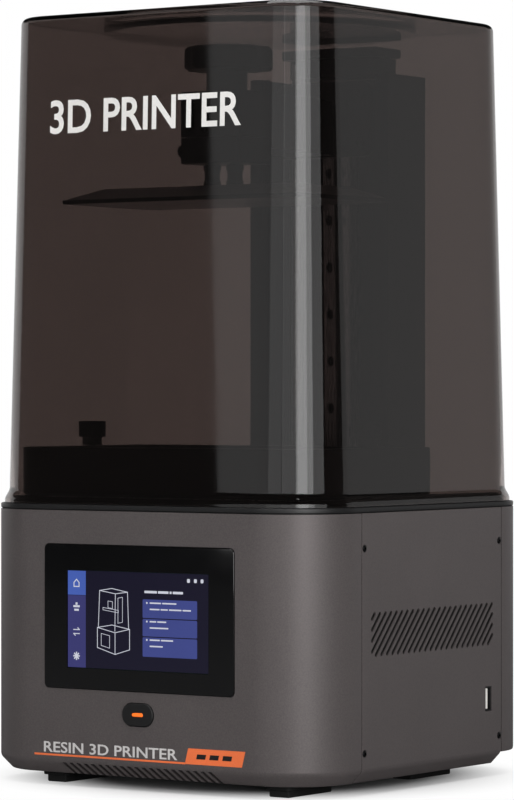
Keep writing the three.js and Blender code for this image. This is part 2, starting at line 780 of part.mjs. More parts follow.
addPart(engine, 'light_housing', cut(
  loft([
    workLevel(housingBottom, ledBoardWidth + 6, ledBoardDepth + 6, 4),
    workLevel(housingTop, lcdWidth - 6, lcdDepth - 6, 4),
  ], 3),
  loft([
    workLevel(housingBottom - 1, ledBoardWidth + 5 - 2 * housingWall, ledBoardDepth + 5 - 2 * housingWall, 3),
    workLevel(housingTop + 1, lcdWidth - 5 - 2 * housingWall, lcdDepth - 5 - 2 * housingWall, 3),
  ], 3),
), blackPlastic);

const fanRear = rear - skin - fitGap;
function fanFrame() {
  const strut = 3;
  const plate = prism(roundedOutline(fanSize, fanSize, 4, 3), 0, fanDepth);
  const bore = cylinder(0, 0, strut, fanDepth + 1, fanBladeReach + fanTipClearance, 40);
  const mouth = cut(
    cylinder(0, 0, -1, strut + 1, fanBladeReach + fanTipClearance, 40),
    box(-fanSize, fanSize, -strut / 2, strut / 2, -1, strut + 1),
    box(-strut / 2, strut / 2, -fanSize, fanSize, -1, strut + 1),
    cylinder(0, 0, -1, strut + 1, fanHubRadius, 24),
  );
  return cut(plate, bore, mouth);
}
addPart(engine, 'fan_frame', alongY(fanFrame(), fanX, fanRear - fanDepth, fanZ), blackPlastic);

function fanRotor() {
  const low = 3 + 2 * fitGap;
  const high = fanDepth - 2 * fitGap;
  const chord = (high - low) * 0.9;
  const span = fanBladeReach - fanHubRadius + 3;
  const pieces = [cylinder(0, 0, low, high, fanHubRadius - 0.5)];
  for (let i = 0; i < fanBlades; i += 1) {
    const blade = new THREE.BoxGeometry(span, 1.4, chord);
    blade.rotateX(THREE.MathUtils.degToRad(fanBladePitch));
    blade.translate(fanBladeReach - span / 2 - 0.5, 0, (low + high) / 2);
    blade.rotateZ((2 * Math.PI * i) / fanBlades);
    pieces.push(blade);
  }
  return join(...pieces);
}
addPart(engine, 'fan_rotor', alongY(fanRotor(), fanX, fanRear - fanDepth, fanZ), blackPlastic);

const mainboardRear = fanRear - fanDepth - mainboardFanRoom;
const mainboardFront = workY + sinkDepth / 2 + mainboardSinkRoom;
const mainboardReach = Math.sqrt(
  (bodyCorner - skin - mainboardCornerGap) ** 2 - (mainboardRear - rear + bodyCorner) ** 2,
);
const mainboardRight = halfW - bodyCorner + mainboardReach;
const mainboardTop = usbCentreZ - usbHeight / 2 - fitGap;
addPart(engine, 'mainboard', box(
  mainboardRight - mainboardWidth, mainboardRight, mainboardFront, mainboardRear,
  mainboardTop - boardThickness, mainboardTop,
), boardGreen);

function stepperMotor() {
  const chamfered = loft([
    { z: motorTop - motorHeight, width: motorSize, depth: motorSize, radius: motorCorner },
    { z: motorTop, width: motorSize, depth: motorSize, radius: motorCorner },
  ], 1).translate(screwX, screwY, 0);
  const boss = cylinder(screwX, screwY, motorTop - 1, motorTop + motorBossHeight, motorBossRadius);
  const shaft = cylinder(screwX, screwY, motorTop, motorTop + motorShaftLength, motorShaftRadius, 16);
  return join(chamfered, boss, shaft);
}
addPart(engine, 'stepper_motor', stepperMotor(), blackMetal);
addPart(engine, 'motor_coupler', cut(
  cylinder(screwX, screwY, couplerBottom, couplerTop, couplerRadius),
  cylinder(screwX, screwY, couplerBottom - 1, couplerTop + 1, screwRadius + fitGap),
), aluminium);

// ---------------------------------------------------------------- deck, mask screen and vat
const deck = new THREE.Group();
printer.add(deck);

const screwBore = screwRadius + 1.5;
function deckFrame() {
  const plate = loft([bodyLevel(deckBottom, 0), bodyLevel(deckTop, 0)]);
  const skirtInset = skin + fitGap;
  const skirt = cut(
    loft([bodyLevel(deckBottom - deckSkirtHeight, skirtInset), bodyLevel(deckTop - 1, skirtInset)]),
    loft([
      bodyLevel(deckBottom - deckSkirtHeight - 1, skirtInset + deckSkirtWall),
      bodyLevel(deckTop, skirtInset + deckSkirtWall),
    ]),
  );
  const window = loft([
    workLevel(deckBottom - 1, lcdWidth + 2 * fitGap, lcdDepth + 2 * fitGap, 2),
    workLevel(deckTop + 1, lcdWidth + 2 * fitGap, lcdDepth + 2 * fitGap, 2),
  ], 2);
  return cut(join(plate, skirt), window, cylinder(screwX, screwY, deckBottom - 1, deckTop + 1, screwBore));
}
addPart(deck, 'deck_frame', deckFrame(), blackMetal);

const gasketInset = coverFootInset + coverWall + 2 * fitGap;
addPart(deck, 'cover_gasket', cut(
  loft([
    bodyLevel(deckTop + fitGap, gasketInset),
    bodyLevel(deckTop + fitGap + gasketHeight / 2, gasketInset),
    bodyLevel(deckTop + fitGap + gasketHeight, gasketInset + gasketHeight),
  ]),
  loft([
    bodyLevel(deckTop, gasketInset + gasketWidth + gasketHeight),
    bodyLevel(deckTop + 2 * gasketHeight, gasketInset + gasketWidth + gasketHeight),
  ]),
), rubber);

addPart(deck, 'mask_lcd', loft([
  workLevel(lcdTop - lcdThickness, lcdWidth, lcdDepth, 2),
  workLevel(lcdTop, lcdWidth, lcdDepth, 2),
], 2), glossGlass);

const filmFrameWidth = basinWidth + 2 * filmFrameWall;
const filmFrameDepth = basinDepth + 2 * filmFrameWall;
addPart(deck, 'film_frame', cut(
  loft([
    workLevel(filmFrameBottom, filmFrameWidth, filmFrameDepth, basinCorner),
    workLevel(filmFrameBottom + filmFrameHeight, filmFrameWidth, filmFrameDepth, basinCorner),
  ], 4),
  loft([
    workLevel(filmFrameBottom - 1, basinWidth, basinDepth, basinCorner),
    workLevel(filmFrameBottom + filmFrameHeight + 1, basinWidth, basinDepth, basinCorner),
  ], 4),
), steel);
addPart(deck, 'vat_film', loft([
  workLevel(filmBottom, basinWidth + filmFrameWall, basinDepth + filmFrameWall, basinCorner),
  workLevel(filmBottom + filmThickness, basinWidth + filmFrameWall, basinDepth + filmFrameWall, basinCorner),
], 4), clear);

const thumbscrewPlaces = [['left', -thumbscrewX], ['right', thumbscrewX]];
function vatBody() {
  const outer = loft([
    workLevel(vatBottom, vatWidth - 4, vatDepth - 4, vatCorner),
    workLevel(vatBottom + 3, vatWidth, vatDepth, vatCorner),
    workLevel(vatTop - 1, vatWidth, vatDepth, vatCorner),
    workLevel(vatTop, vatWidth - 2, vatDepth - 2, vatCorner),
  ], 5);
  const basin = loft([
    workLevel(vatBottom - 1, basinWidth, basinDepth, basinCorner),
    workLevel(vatTop + 1, basinWidth, basinDepth, basinCorner),
  ], 5);
  const screwHoles = thumbscrewPlaces.map(([, x]) => cylinder(
    x, thumbscrewY, vatBottom - 1, vatTop + 1, thumbscrewShankRadius + fitGap, 16,
  ));
  return cut(outer, basin, ...screwHoles);
}
addPart(deck, 'resin_vat', vatBody(), blackMetal);

const thumbscrewBase = vatTop + fitGap;
for (const [name, x] of thumbscrewPlaces) {
  const neckTop = thumbscrewBase + thumbscrewNeckHeight;
  const capTop = neckTop + thumbscrewCapHeight;
  addPart(deck, `vat_thumbscrew_${name}`, turned([
    [0, deckTop + fitGap],
    [thumbscrewShankRadius, deckTop + fitGap],
    [thumbscrewShankRadius, thumbscrewBase],
    [thumbscrewNeckRadius, thumbscrewBase],
    [thumbscrewNeckRadius, neckTop],
    [thumbscrewCapRadius, neckTop],
    [thumbscrewCapRadius, capTop - 0.8],
    [thumbscrewCapRadius - 0.8, capTop],
    [0, capTop],
  ], 28).translate(x, thumbscrewY, 0), blackMetal);
}

// ---------------------------------------------------------------- tower
const tower = new THREE.Group();
printer.add(tower);

const footBottom = deckTop + fitGap;
addPart(tower, 'tower_foot', cut(
  box(-towerFootWidth / 2, towerFootWidth / 2, towerFootFront, columnRear, footBottom, towerFootTop),
  cylinder(screwX, screwY, footBottom - 1, towerFootTop + 1, screwBore),
), blackMetal);

function columnOutline() {
  const w = columnWidth / 2;
  const inner = w - columnWall;
  const lipInner = w - columnLip;
  const half = [
    [w, columnRear], [w, columnFront], [lipInner, columnFront], [lipInner, columnFront + columnWall],
    [inner, columnFront + columnWall], [inner, webFront],
  ];
  const mirrored = half.map(([x, y]) => [-x, y]).reverse();
  return [...half, ...mirrored].map(([x, y]) => new THREE.Vector2(x, y));
}
addPart(tower, 'tower_column', prism(columnOutline(), towerFootTop + fitGap, columnTop), blackMetal);

function railOutline() {
  const w = railWidth / 2;
  const back = webFront - fitGap;
  const grooveY = (railFront + back) / 2;
  const half = [
    [w, back], [w, grooveY + railGroove], [w - railGroove, grooveY], [w, grooveY - railGroove],
    [w, railFront + 1], [w - 1, railFront],
  ];
  const mirrored = half.map(([x, y]) => [-x, y]).reverse();
  return [...half, ...mirrored].map(([x, y]) => new THREE.Vector2(x, y));
}
addPart(tower, 'linear_rail', prism(
  railOutline(), towerFootTop + 2 * fitGap, columnTop - railClearTop,
), steel);

const screwTop = bearingBottom + bearingHeight - 2;
addPart(tower, 'lead_screw', cylinder(
  screwX, screwY, motorTop + motorShaftLength + fitGap, screwTop, screwRadius, 20,
), steel);
const bearingTop = bearingBottom + bearingHeight;
addPart(tower, 'bearing_block', cut(
  box(-bearingWidth / 2, bearingWidth / 2, bearingFront, bearingRear, bearingBottom, bearingTop),
  cylinder(screwX, screwY, bearingBottom - 1, screwTop + fitGap, screwRadius + screwClearance),
), blackMetal);
addPart(tower, 'tower_cap', loft([
  { z: capBottom, width: capWidth, depth: bearingRear - capFront, radius: 1.5 },
  { z: capBottom + capHeight, width: capWidth, depth: bearingRear - capFront, radius: 1.5 },
], 2).translate(0, (bearingRear + capFront) / 2, 0), blackPlastic);

// ---------------------------------------------------------------- lift: carriage, arm and platform
const lift = new THREE.Group();
printer.add(lift);

const carriageFront = plateRear + fitGap;
const carriageBottom = plateBottom + (plateHeight - carriageLength) / 2 - 1;
addPart(lift, 'rail_carriage', cut(
  box(
    -carriageWidth / 2, carriageWidth / 2, carriageFront, railFront + carriageReach,
    carriageBottom, carriageBottom + carriageLength,
  ),
  box(
    -railWidth / 2 - carriageClearance, railWidth / 2 + carriageClearance,
    railFront - carriageClearance, railFront + 2 * carriageReach,
    carriageBottom - 1, carriageBottom + carriageLength + 1,
  ),
), steel);
addPart(lift, 'carriage_plate', facePlate(
  plateWidth, plateHeight, plateCorner, 0, plateBottom + plateHeight / 2, plateFront, plateRear,
), blackMetal);
const nutBottom = plateBottom + (plateHeight - nutHeight) / 2;
addPart(lift, 'lead_nut', cut(
  box(
    screwX - nutSize / 2, screwX + nutSize / 2, carriageFront, screwY + nutSize / 2,
    nutBottom, nutBottom + nutHeight,
  ),
  cylinder(screwX, screwY, nutBottom - 1, nutBottom + nutHeight + 1, screwRadius + screwClearance),
), blackPlastic);

function platformArm() {
  const head = box(-blockWidth / 2, blockWidth / 2, blockFront, blockRear, headBottom, headTop);
  const beam = box(-armWidth / 2, armWidth / 2, blockRear - 1, plateFront - fitGap, headBottom, headTop);
  const web = box(
    -armWidth / 2, armWidth / 2, blockRear + fitGap, plateFront - fitGap,
    plateBottom + armRelief, headBottom + 1,
  );
  return join(head, beam, web);
}
addPart(lift, 'platform_arm', platformArm(), blackMetal);

addPart(lift, 'platform_block', cut(
  box(-blockWidth / 2, blockWidth / 2, blockFront, blockRear, blockBottom, blockTop),
  alongX(
    cylinder(0, 0, -1, blockScrewLength + fitGap, blockScrewShank + fitGap, 12),
    -blockWidth / 2, blockScrewY, (blockBottom + blockTop) / 2,
  ),
), blackMetal);
const blockScrew = turned([
  [0, 0],
  [blockScrewRadius - 0.5, 0],
  [blockScrewRadius, 0.5],
  [blockScrewRadius, blockScrewHead - fitGap],
  [blockScrewShank, blockScrewHead - fitGap],
  [blockScrewShank, blockScrewHead + blockScrewLength - fitGap],
  [0, blockScrewHead + blockScrewLength - fitGap],
], 20);
addPart(lift, 'block_screw', alongX(
  blockScrew, -blockWidth / 2 - blockScrewHead, blockScrewY, (blockBottom + blockTop) / 2,
), blackMetal);
for (const [name, side] of [['left', -1], ['right', 1]]) {
  addPart(lift, `platform_post_${name}`, cylinder(
    (side * postSpacing) / 2, workY, crownTop + fitGap, postTop, postRadius,
  ), blackMetal);
}
addPart(lift, 'build_platform', loft([
  workLevel(platformUnderside, platformWidth, platformDepth, 2),
  workLevel(flangeTop, platformWidth, platformDepth, 2),
  workLevel(crownTop, platformWidth - 2 * platformSlope, platformDepth - 2 * platformSlope, 2),
], 2), aluminium);

function clampKnob() {
  const low = headTop + fitGap + knobNeckHeight;
  const outline = [];
  const count = 6 * knobLobes;
  for (let i = 0; i < count; i += 1) {
    const angle = (2 * Math.PI * i) / count;
    const radius = knobRadius - (knobLobeDepth / 2) * (1 + Math.cos(knobLobes * angle));
    outline.push(new THREE.Vector2(radius * Math.cos(angle), radius * Math.sin(angle)));
  }
  const cap = prism(outline, low, low + knobHeight);
  const neck = cylinder(0, 0, headTop + fitGap, low + 1, knobNeckRadius);
  return join(cap, neck).translate(0, knobY, 0);
}
addPart(lift, 'clamp_knob', clampKnob(), blackPlastic);

// ---------------------------------------------------------------- cover
const coverBottom = deckTop + fitGap;

/** The cover's outline grown inwards by a wall, from below its foot to its rounded top. */
function coverBody(wall, extra) {
  const top = totalHeight - wall;
  const round = Math.max(coverFillet - wall, 0.5);
  const levels = [
    bodyLevel(coverBottom - extra, coverFootInset + wall),
    bodyLevel(coverBottom + 1, coverFootInset + wall),
    bodyLevel(coverBottom + coverSkirt, coverInset + wall),
  ];
  for (let step = 0; step <= coverFilletSteps; step += 1) {
    const angle = (Math.PI / 2) * (step / coverFilletSteps);
    const inset = coverInset + coverTaper + wall + round * (1 - Math.cos(angle));
    levels.push(bodyLevel(top - round + round * Math.sin(angle), inset));
  }
  return loft(levels);
}

function coverShell() {
  const floor = totalHeight - recessDepth;
  const dish = cylinder(0, 0, floor - coverWall, totalHeight - coverWall / 2, recessRadius + coverWall, 64);
  const shell = join(cut(coverBody(0, 0), coverBody(coverWall, 1)), dish);
  return cut(
    shell,
    cylinder(0, 0, floor, totalHeight + 1, recessRadius, 64),
    cylinder(0, 0, floor - innerRecessDepth, totalHeight, innerRecessRadius, 40),
  );
}
const cover = new THREE.Group();
printer.add(cover);
addPart(cover, 'smoked_cover', coverShell(), smoke);

export default printer;
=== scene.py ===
"""Looks of a resin printer: painted base, deck with vat, Z tower with platform, smoked lift-off cover.

Shapes are drawn in millimetres with bmesh operators and turned to metres when a piece is finished.
+Z is up, -Y the printer's front, +X its right side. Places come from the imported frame's own boxes.
"""

import json
import logging
import math
from dataclasses import dataclass, field
from enum import Enum
from typing import Callable, Iterable, Sequence

import bmesh
import bpy
from mathutils import Matrix, Vector

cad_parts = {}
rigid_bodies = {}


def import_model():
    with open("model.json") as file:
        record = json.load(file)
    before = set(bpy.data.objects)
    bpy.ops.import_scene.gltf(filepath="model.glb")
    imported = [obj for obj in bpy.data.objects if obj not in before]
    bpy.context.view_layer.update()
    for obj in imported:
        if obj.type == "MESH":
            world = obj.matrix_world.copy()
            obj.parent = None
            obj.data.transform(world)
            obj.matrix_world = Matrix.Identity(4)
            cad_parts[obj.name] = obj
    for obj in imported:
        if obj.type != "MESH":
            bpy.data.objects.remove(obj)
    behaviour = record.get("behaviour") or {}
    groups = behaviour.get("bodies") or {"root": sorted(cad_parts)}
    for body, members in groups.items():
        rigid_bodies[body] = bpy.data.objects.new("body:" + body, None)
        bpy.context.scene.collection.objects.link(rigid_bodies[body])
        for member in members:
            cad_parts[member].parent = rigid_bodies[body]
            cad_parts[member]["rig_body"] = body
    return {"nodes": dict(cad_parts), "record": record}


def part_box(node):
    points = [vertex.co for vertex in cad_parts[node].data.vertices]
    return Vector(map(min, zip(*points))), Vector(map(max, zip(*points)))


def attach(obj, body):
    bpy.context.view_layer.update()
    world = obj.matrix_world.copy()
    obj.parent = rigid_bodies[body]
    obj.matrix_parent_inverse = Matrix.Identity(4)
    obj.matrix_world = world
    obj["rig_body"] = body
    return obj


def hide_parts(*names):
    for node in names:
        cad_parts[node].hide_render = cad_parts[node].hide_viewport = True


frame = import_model()

log = logging.getLogger("resin_printer")
MM = 0.001
CORNER_SEGMENTS = 24
MERGE = 1e-4  # points nearer than this, in millimetres, are one
DRIFT_WIDTH = 40.0  # how far apart a finish's slow changes of tone are
FIT_GAP = 0.3  # the clear gap round a part set into a panel
BUTTON_SIZE = (19.0, 11.4)
SCREW_PLACES = ("front_low", "front_high", "rear_low", "rear_high")
SIDES = ("left", "right")
Pair = tuple[float, float]
Triple = tuple[float, float, float]


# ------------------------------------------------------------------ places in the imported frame
@dataclass(frozen=True)
class Box:
    """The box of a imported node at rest, in millimetres."""

    low: Vector
    high: Vector

    @classmethod
    def of(cls, node: str) -> "Box":
        """Returns the box of a node."""
        low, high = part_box(node)
        return cls(low / MM, high / MM)

    @property
    def centre(self) -> Vector:
        """The middle of the box."""
        return (self.low + self.high) / 2

    @property
    def size(self) -> Vector:
        """The width, depth and height of the box."""
        return self.high - self.low


def body_of(node: str) -> str:
    """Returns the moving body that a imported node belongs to."""
    return frame["nodes"][node]["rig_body"]


def slot_of(node: str) -> str:
    """Returns the material slot that the record gives a node."""
    rows = frame["record"]["subparts"]
    return next(row["material_slot"] for row in rows if row["node"] == node)


# ------------------------------------------------------------------ finishes
def linear(colour: str) -> tuple[float, float, float, float]:
    """Turns an sRGB hex colour to linear light, by the curve of the sRGB standard.

    Args:
        colour: six hex digits after a hash sign.

    Returns:
        The red, green, blue and alpha values.
    """
    parts = [int(colour[i : i + 2], 16) / 255 for i in (1, 3, 5)]
    low = [p / 12.92 if p <= 0.04045 else ((p + 0.055) / 1.055) ** 2.4 for p in parts]
    return low[0], low[1], low[2], 1.0


def add_node(tree: bpy.types.NodeTree, kind: str, settings: dict | None = None,
             links: dict | None = None) -> bpy.types.Node:
    """Adds a shader node with its settings and links.

    Args:
        tree: the node tree.
        kind: the node's type.
        settings: a property's name, or an input's name or number, with its value.
        links: an input's name or number, with the output that feeds it.

    Returns:
        The new node.
    """
    node = tree.nodes.new(kind)
    for key, value in (settings or {}).items():
        if isinstance(key, str) and key.islower():
            setattr(node, key, value)
        else:
            node.inputs[key].default_value = value
    for key, source in (links or {}).items():
        tree.links.new(source, node.inputs[key])
    return node


class Pattern(Enum):
    """How a surface was made, which sets the shape of its fine relief."""

    GRAINED = "moulded, blasted or sprayed grain"
    BRUSHED = "drawn, ground or extruded lines"
    CELLED = "cells on a grid, as in a display or a board's tracks"


@dataclass(frozen=True)
class Finish:
    """One real surface: its colours, gloss and relief.

    colour and hollow are the colours on and between the grains, grain is the grain's width and
    relief its height, both in millimetres, and drift is how far the colour wanders over a piece.
    """

    name: str
    colour: str
    hollow: str
    roughness: Pair
    grain: float
    relief: float
    pattern: Pattern = Pattern.GRAINED
    stretch: Triple = (1.0, 1.0, 1.0)
    metallic: float = 0.0
    ior: float = 1.5
    coat: float = 0.0
    transmission: float = 0.0
    alpha: float = 1.0
    glow: float = 0.0
    drift: float = 0.06

    def relief_field(self, tree: bpy.types.NodeTree) -> bpy.types.NodeSocket:
        """Adds the pattern and returns its output, from 0 to 1."""
        place = add_node(tree, "ShaderNodeTexCoord").outputs["Object"]
        turned = add_node(tree, "ShaderNodeMapping", {"Scale": self.stretch}, {"Vector": place})
        scale = 1 / (self.grain * MM)
        if self.pattern is Pattern.CELLED:
            cells = add_node(tree, "ShaderNodeTexVoronoi",
                             {"distance": "CHEBYCHEV", "Scale": scale, "Randomness": 0.15},
                             {"Vector": turned.outputs["Vector"]})
            return cells.outputs["Distance"]
        detail = 1.0 if self.pattern is Pattern.BRUSHED else 3.0
        noise = add_node(tree, "ShaderNodeTexNoise", {"Scale": scale, "Detail": detail},
                         {"Vector": turned.outputs["Vector"]})
        return noise.outputs["Fac"]

    def material(self) -> bpy.types.Material:
        """Returns this finish's material, made the first time it is asked for."""
        made = bpy.data.materials.get(self.name)
        if made is not None:
            return made
        made = bpy.data.materials.new(self.name)
        made.use_nodes = True
        tree = made.node_tree
        tree.nodes.clear()
        height = self.relief_field(tree)
        gloss = add_node(tree, "ShaderNodeMapRange",
                         {"From Min": 0.25, "From Max": 0.75, "To Min": self.roughness[0],
                          "To Max": self.roughness[1]}, {"Value": height})
        links = {"Roughness": gloss.outputs["Result"]}
        if self.relief > 0:
            bump = add_node(tree, "ShaderNodeBump", {"Strength": 1.0, "Distance": self.relief * MM},
                            {"Height": height})
            links["Normal"] = bump.outputs["Normal"]
        settings = {"Metallic": self.metallic, "IOR": self.ior, "Coat Weight": self.coat,
                    "Transmission Weight": self.transmission, "Alpha": self.alpha}
        if self.transmission > 0:
            settings["Base Color"] = linear(self.colour)
        elif self.glow > 0:
            settings["Base Color"] = linear("#08080A")
            settings["Emission Strength"] = self.glow
            links["Emission Color"] = self.shade(tree, height)
        else:
            links["Base Color"] = self.shade(tree, height)
        shader = add_node(tree, "ShaderNodeBsdfPrincipled", settings, links)
        add_node(tree, "ShaderNodeOutputMaterial", {}, {"Surface": shader.outputs["BSDF"]})
        return made

    def shade(self, tree: bpy.types.NodeTree, height: bpy.types.NodeSocket) -> bpy.types.NodeSocket:
        """Adds the colour of grains and hollows, wandering slowly over the piece.

        Args:
            tree: the node tree.
            height: the relief's output.

        Returns:
            The colour output.
        """
        spread = add_node(tree, "ShaderNodeMapRange", {"From Min": 0.3, "From Max": 0.7},
                          {"Value": height})
        grains = add_node(tree, "ShaderNodeMix",
                          {"data_type": "RGBA", 6: linear(self.hollow), 7: linear(self.colour)},
                          {0: spread.outputs["Result"]})
        place = add_node(tree, "ShaderNodeTexCoord").outputs["Object"]
        slow = add_node(tree, "ShaderNodeTexNoise", {"Scale": 1 / (DRIFT_WIDTH * MM), "Detail": 2.0},
                        {"Vector": place})
        level = add_node(tree, "ShaderNodeMapRange",
                         {"From Min": 0.3, "From Max": 0.7, "To Min": 1 - self.drift,
                          "To Max": 1 + self.drift}, {"Value": slow.outputs["Fac"]})
        out = add_node(tree, "ShaderNodeVectorMath", {"operation": "SCALE"},
                       {0: grains.outputs[2], "Scale": level.outputs["Result"]})
        return out.outputs[0]


def lit(name: str, colour: str, hollow: str, glow: float = 0.9) -> Finish:
    """Returns the finish of lit display cells, drawn 0.5 mm wide so that they show."""
    return Finish(name, colour, hollow, (0.08, 0.12), 0.5, 0.0, Pattern.CELLED, glow=glow)


# Powder coat: sprayed, fused grains, drawn 0.7 mm wide so that they show. A dry, faintly sparkling
# warm grey.
POWDER_COAT = Finish("warm_grey_powder_coat", "#615B5A", "#554F50", (0.38, 0.5), 0.7, 0.02,
                     metallic=0.35, drift=0.03)
# Satin black powder coat on sheet metal: nearly black, with a soft broad highlight.
BLACK_COAT = Finish("satin_black_powder_coat", "#1B1B1C", "#131314", (0.34, 0.46), 0.6, 0.012)
# Type II black anodise over blasted aluminium: a dense charcoal with a metallic edge glint.
BLACK_ANODISE = Finish("black_anodised_aluminium", "#18181A", "#111112", (0.3, 0.42), 0.4, 0.006,
                       metallic=0.5)
# Clear anodise over a blasted plate: an even silver grey that takes soft light.
BLASTED_ANODISE = Finish("blasted_anodised_aluminium", "#C2C2C4", "#B2B2B5", (0.36, 0.5), 0.5, 0.012,
                         metallic=1.0)
# Extruded aluminium: pale metal with die lines along its length.
EXTRUSION = Finish("extruded_aluminium", "#B4B4B6", "#9FA0A2", (0.3, 0.45), 0.5, 0.01, Pattern.BRUSHED,
                   (1.0, 0.04, 1.0), metallic=1.0)
# Ground bearing steel: bright, with grinding lines along the rail.
GROUND_STEEL = Finish("ground_steel", "#C2C2C4", "#ACACAF", (0.2, 0.34), 0.35, 0.004, Pattern.BRUSHED,
                      (1.0, 1.0, 0.03), metallic=1.0)
# Black oxide on screws: a dark bloom over steel with a little gloss.
BLACK_OXIDE = Finish("black_oxide_steel", "#1E1E20", "#151516", (0.28, 0.4), 0.3, 0.004, metallic=0.8)
# Spark-eroded ABS moulding: fine even grain that spreads the highlight.
BLACK_ABS = Finish("textured_black_abs", "#1A1A1B", "#121213", (0.4, 0.55), 0.45, 0.015, ior=1.46)
# Moulded nylon contact carrier: a slightly waxy white.
WHITE_NYLON = Finish("moulded_white_nylon", "#EDEBE6", "#E3E0DA", (0.35, 0.5), 0.4, 0.005, ior=1.53)
# Moulded nitrile rubber: dull, dry black.
RUBBER = Finish("moulded_black_rubber", "#151515", "#0D0D0D", (0.75, 0.9), 0.6, 0.02, ior=1.52)
# Float glass backed with black ink: deep black under a clear sharp gloss, with faint wiping marks.
INKED_GLASS = Finish("black_backed_glass", "#070708", "#050506", (0.04, 0.09), 18.0, 0.0, ior=1.52,
                     coat=0.6)
# Polarised display glass: black with fine cells, drawn 0.5 mm wide so that they show.
MASK_GLASS = Finish("mask_display_glass", "#0B0B10", "#08080C", (0.05, 0.12), 0.5, 0.0, Pattern.CELLED,
                    ior=1.52)
# FR-4 board: green solder mask over copper tracks.
SOLDER_MASK = Finish("green_solder_mask", "#1E4A2E", "#153822", (0.3, 0.5), 2.4, 0.03, Pattern.CELLED,
                     ior=1.55)
# Fluoropolymer release film and cast lens: clear, with a faint haze.
CLEAR_FILM = Finish("clear_release_film", "#DDE3E6", "#D2D8DB", (0.06, 0.14), 6.0, 0.0, ior=1.35,
                    alpha=0.35)
# Cast acrylic dyed smoke brown: gloss that shows what is inside in brown, with a slow ripple from
# casting.
SMOKED_ACRYLIC = Finish("smoked_cast_acrylic", "#7F7572", "#7F7572", (0.015, 0.035), 45.0, 0.0,
                        ior=1.49, transmission=1.0)
# The touch display's colours.
SCREEN_BLUE = lit("lit_display_background", "#151326", "#131122", 1.0)
SCREEN_BAR = lit("lit_display_bar", "#3E3E76", "#3A3A70")
SCREEN_TILE = lit("lit_display_tile", "#4A64B8", "#4660B2")
SCREEN_PANEL = lit("lit_display_panel", "#424B8D", "#3F4887")
SCREEN_WHITE = lit("lit_display_marks", "#D8DAE6", "#D0D2DF")
# Orange polycarbonate light pipe, lit from behind.
LIGHT_PIPE = Finish("lit_orange_polycarbonate", "#FF7A2A", "#FB7222", (0.15, 0.25), 1.2, 0.0, ior=1.58,
                    glow=1.2)
# Screen-printed inks: a thin satin film with a slightly uneven edge of gloss.
ORANGE_INK = Finish("orange_screen_print_ink", "#E8703A", "#E26A35", (0.4, 0.5), 0.8, 0.003)
WHITE_INK = Finish("white_screen_print_ink", "#E9E7E4", "#E2E0DD", (0.4, 0.5), 0.8, 0.003)
GREY_INK = Finish("pale_grey_screen_print_ink", "#C9C6C5", "#C1BEBD", (0.4, 0.5), 0.8, 0.003)

FINISH_OF_SLOT: dict[str, Finish] = {
    "body_paint": POWDER_COAT,
    "screw_black": BLACK_OXIDE,
    "foot_rubber": RUBBER,
    "base_steel": BLACK_COAT,
    "deck_black": BLACK_COAT,
    "bezel_glass": INKED_GLASS,
    "screen_glass": SCREEN_BLUE,
    "mask_glass": MASK_GLASS,
    "circuit_board": SOLDER_MASK,
    "black_plastic": BLACK_ABS,
    "button_light": LIGHT_PIPE,
    "bright_steel": GROUND_STEEL,
    "bare_aluminium": EXTRUSION,
    "platform_aluminium": BLASTED_ANODISE,
    "clear_film": CLEAR_FILM,
    "black_anodised": BLACK_ANODISE,
    "smoked_acrylic": SMOKED_ACRYLIC,
}


# ------------------------------------------------------------------ shapes
class Side(Enum):
    """A face of the printer. A drawing on it has X to the viewer's right, Y up and Z outwards."""

    FRONT = ((1, 0, 0), (0, 0, -1), (0, 1, 0))
    RIGHT = ((0, 0, 1), (1, 0, 0), (0, 1, 0))
    REAR = ((-1, 0, 0), (0, 0, 1), (0, 1, 0))
    LEFT = ((0, 0, -1), (-1, 0, 0), (0, 1, 0))


class Mixing(Enum):
    """How two solids are combined."""

    CUT = "DIFFERENCE"
    JOIN = "UNION"


def rounding(radius: float, steps: int = 4) -> list[Pair]:
    """Returns the (inset, rise) steps that round an upper edge."""
    angles = [math.pi / 2 * i / steps for i in range(steps + 1)]
    return [
        (radius * (math.cos(a) - math.cos(b)), radius * (math.sin(b) - math.sin(a)))
        for a, b in zip(angles, angles[1:])
    ]


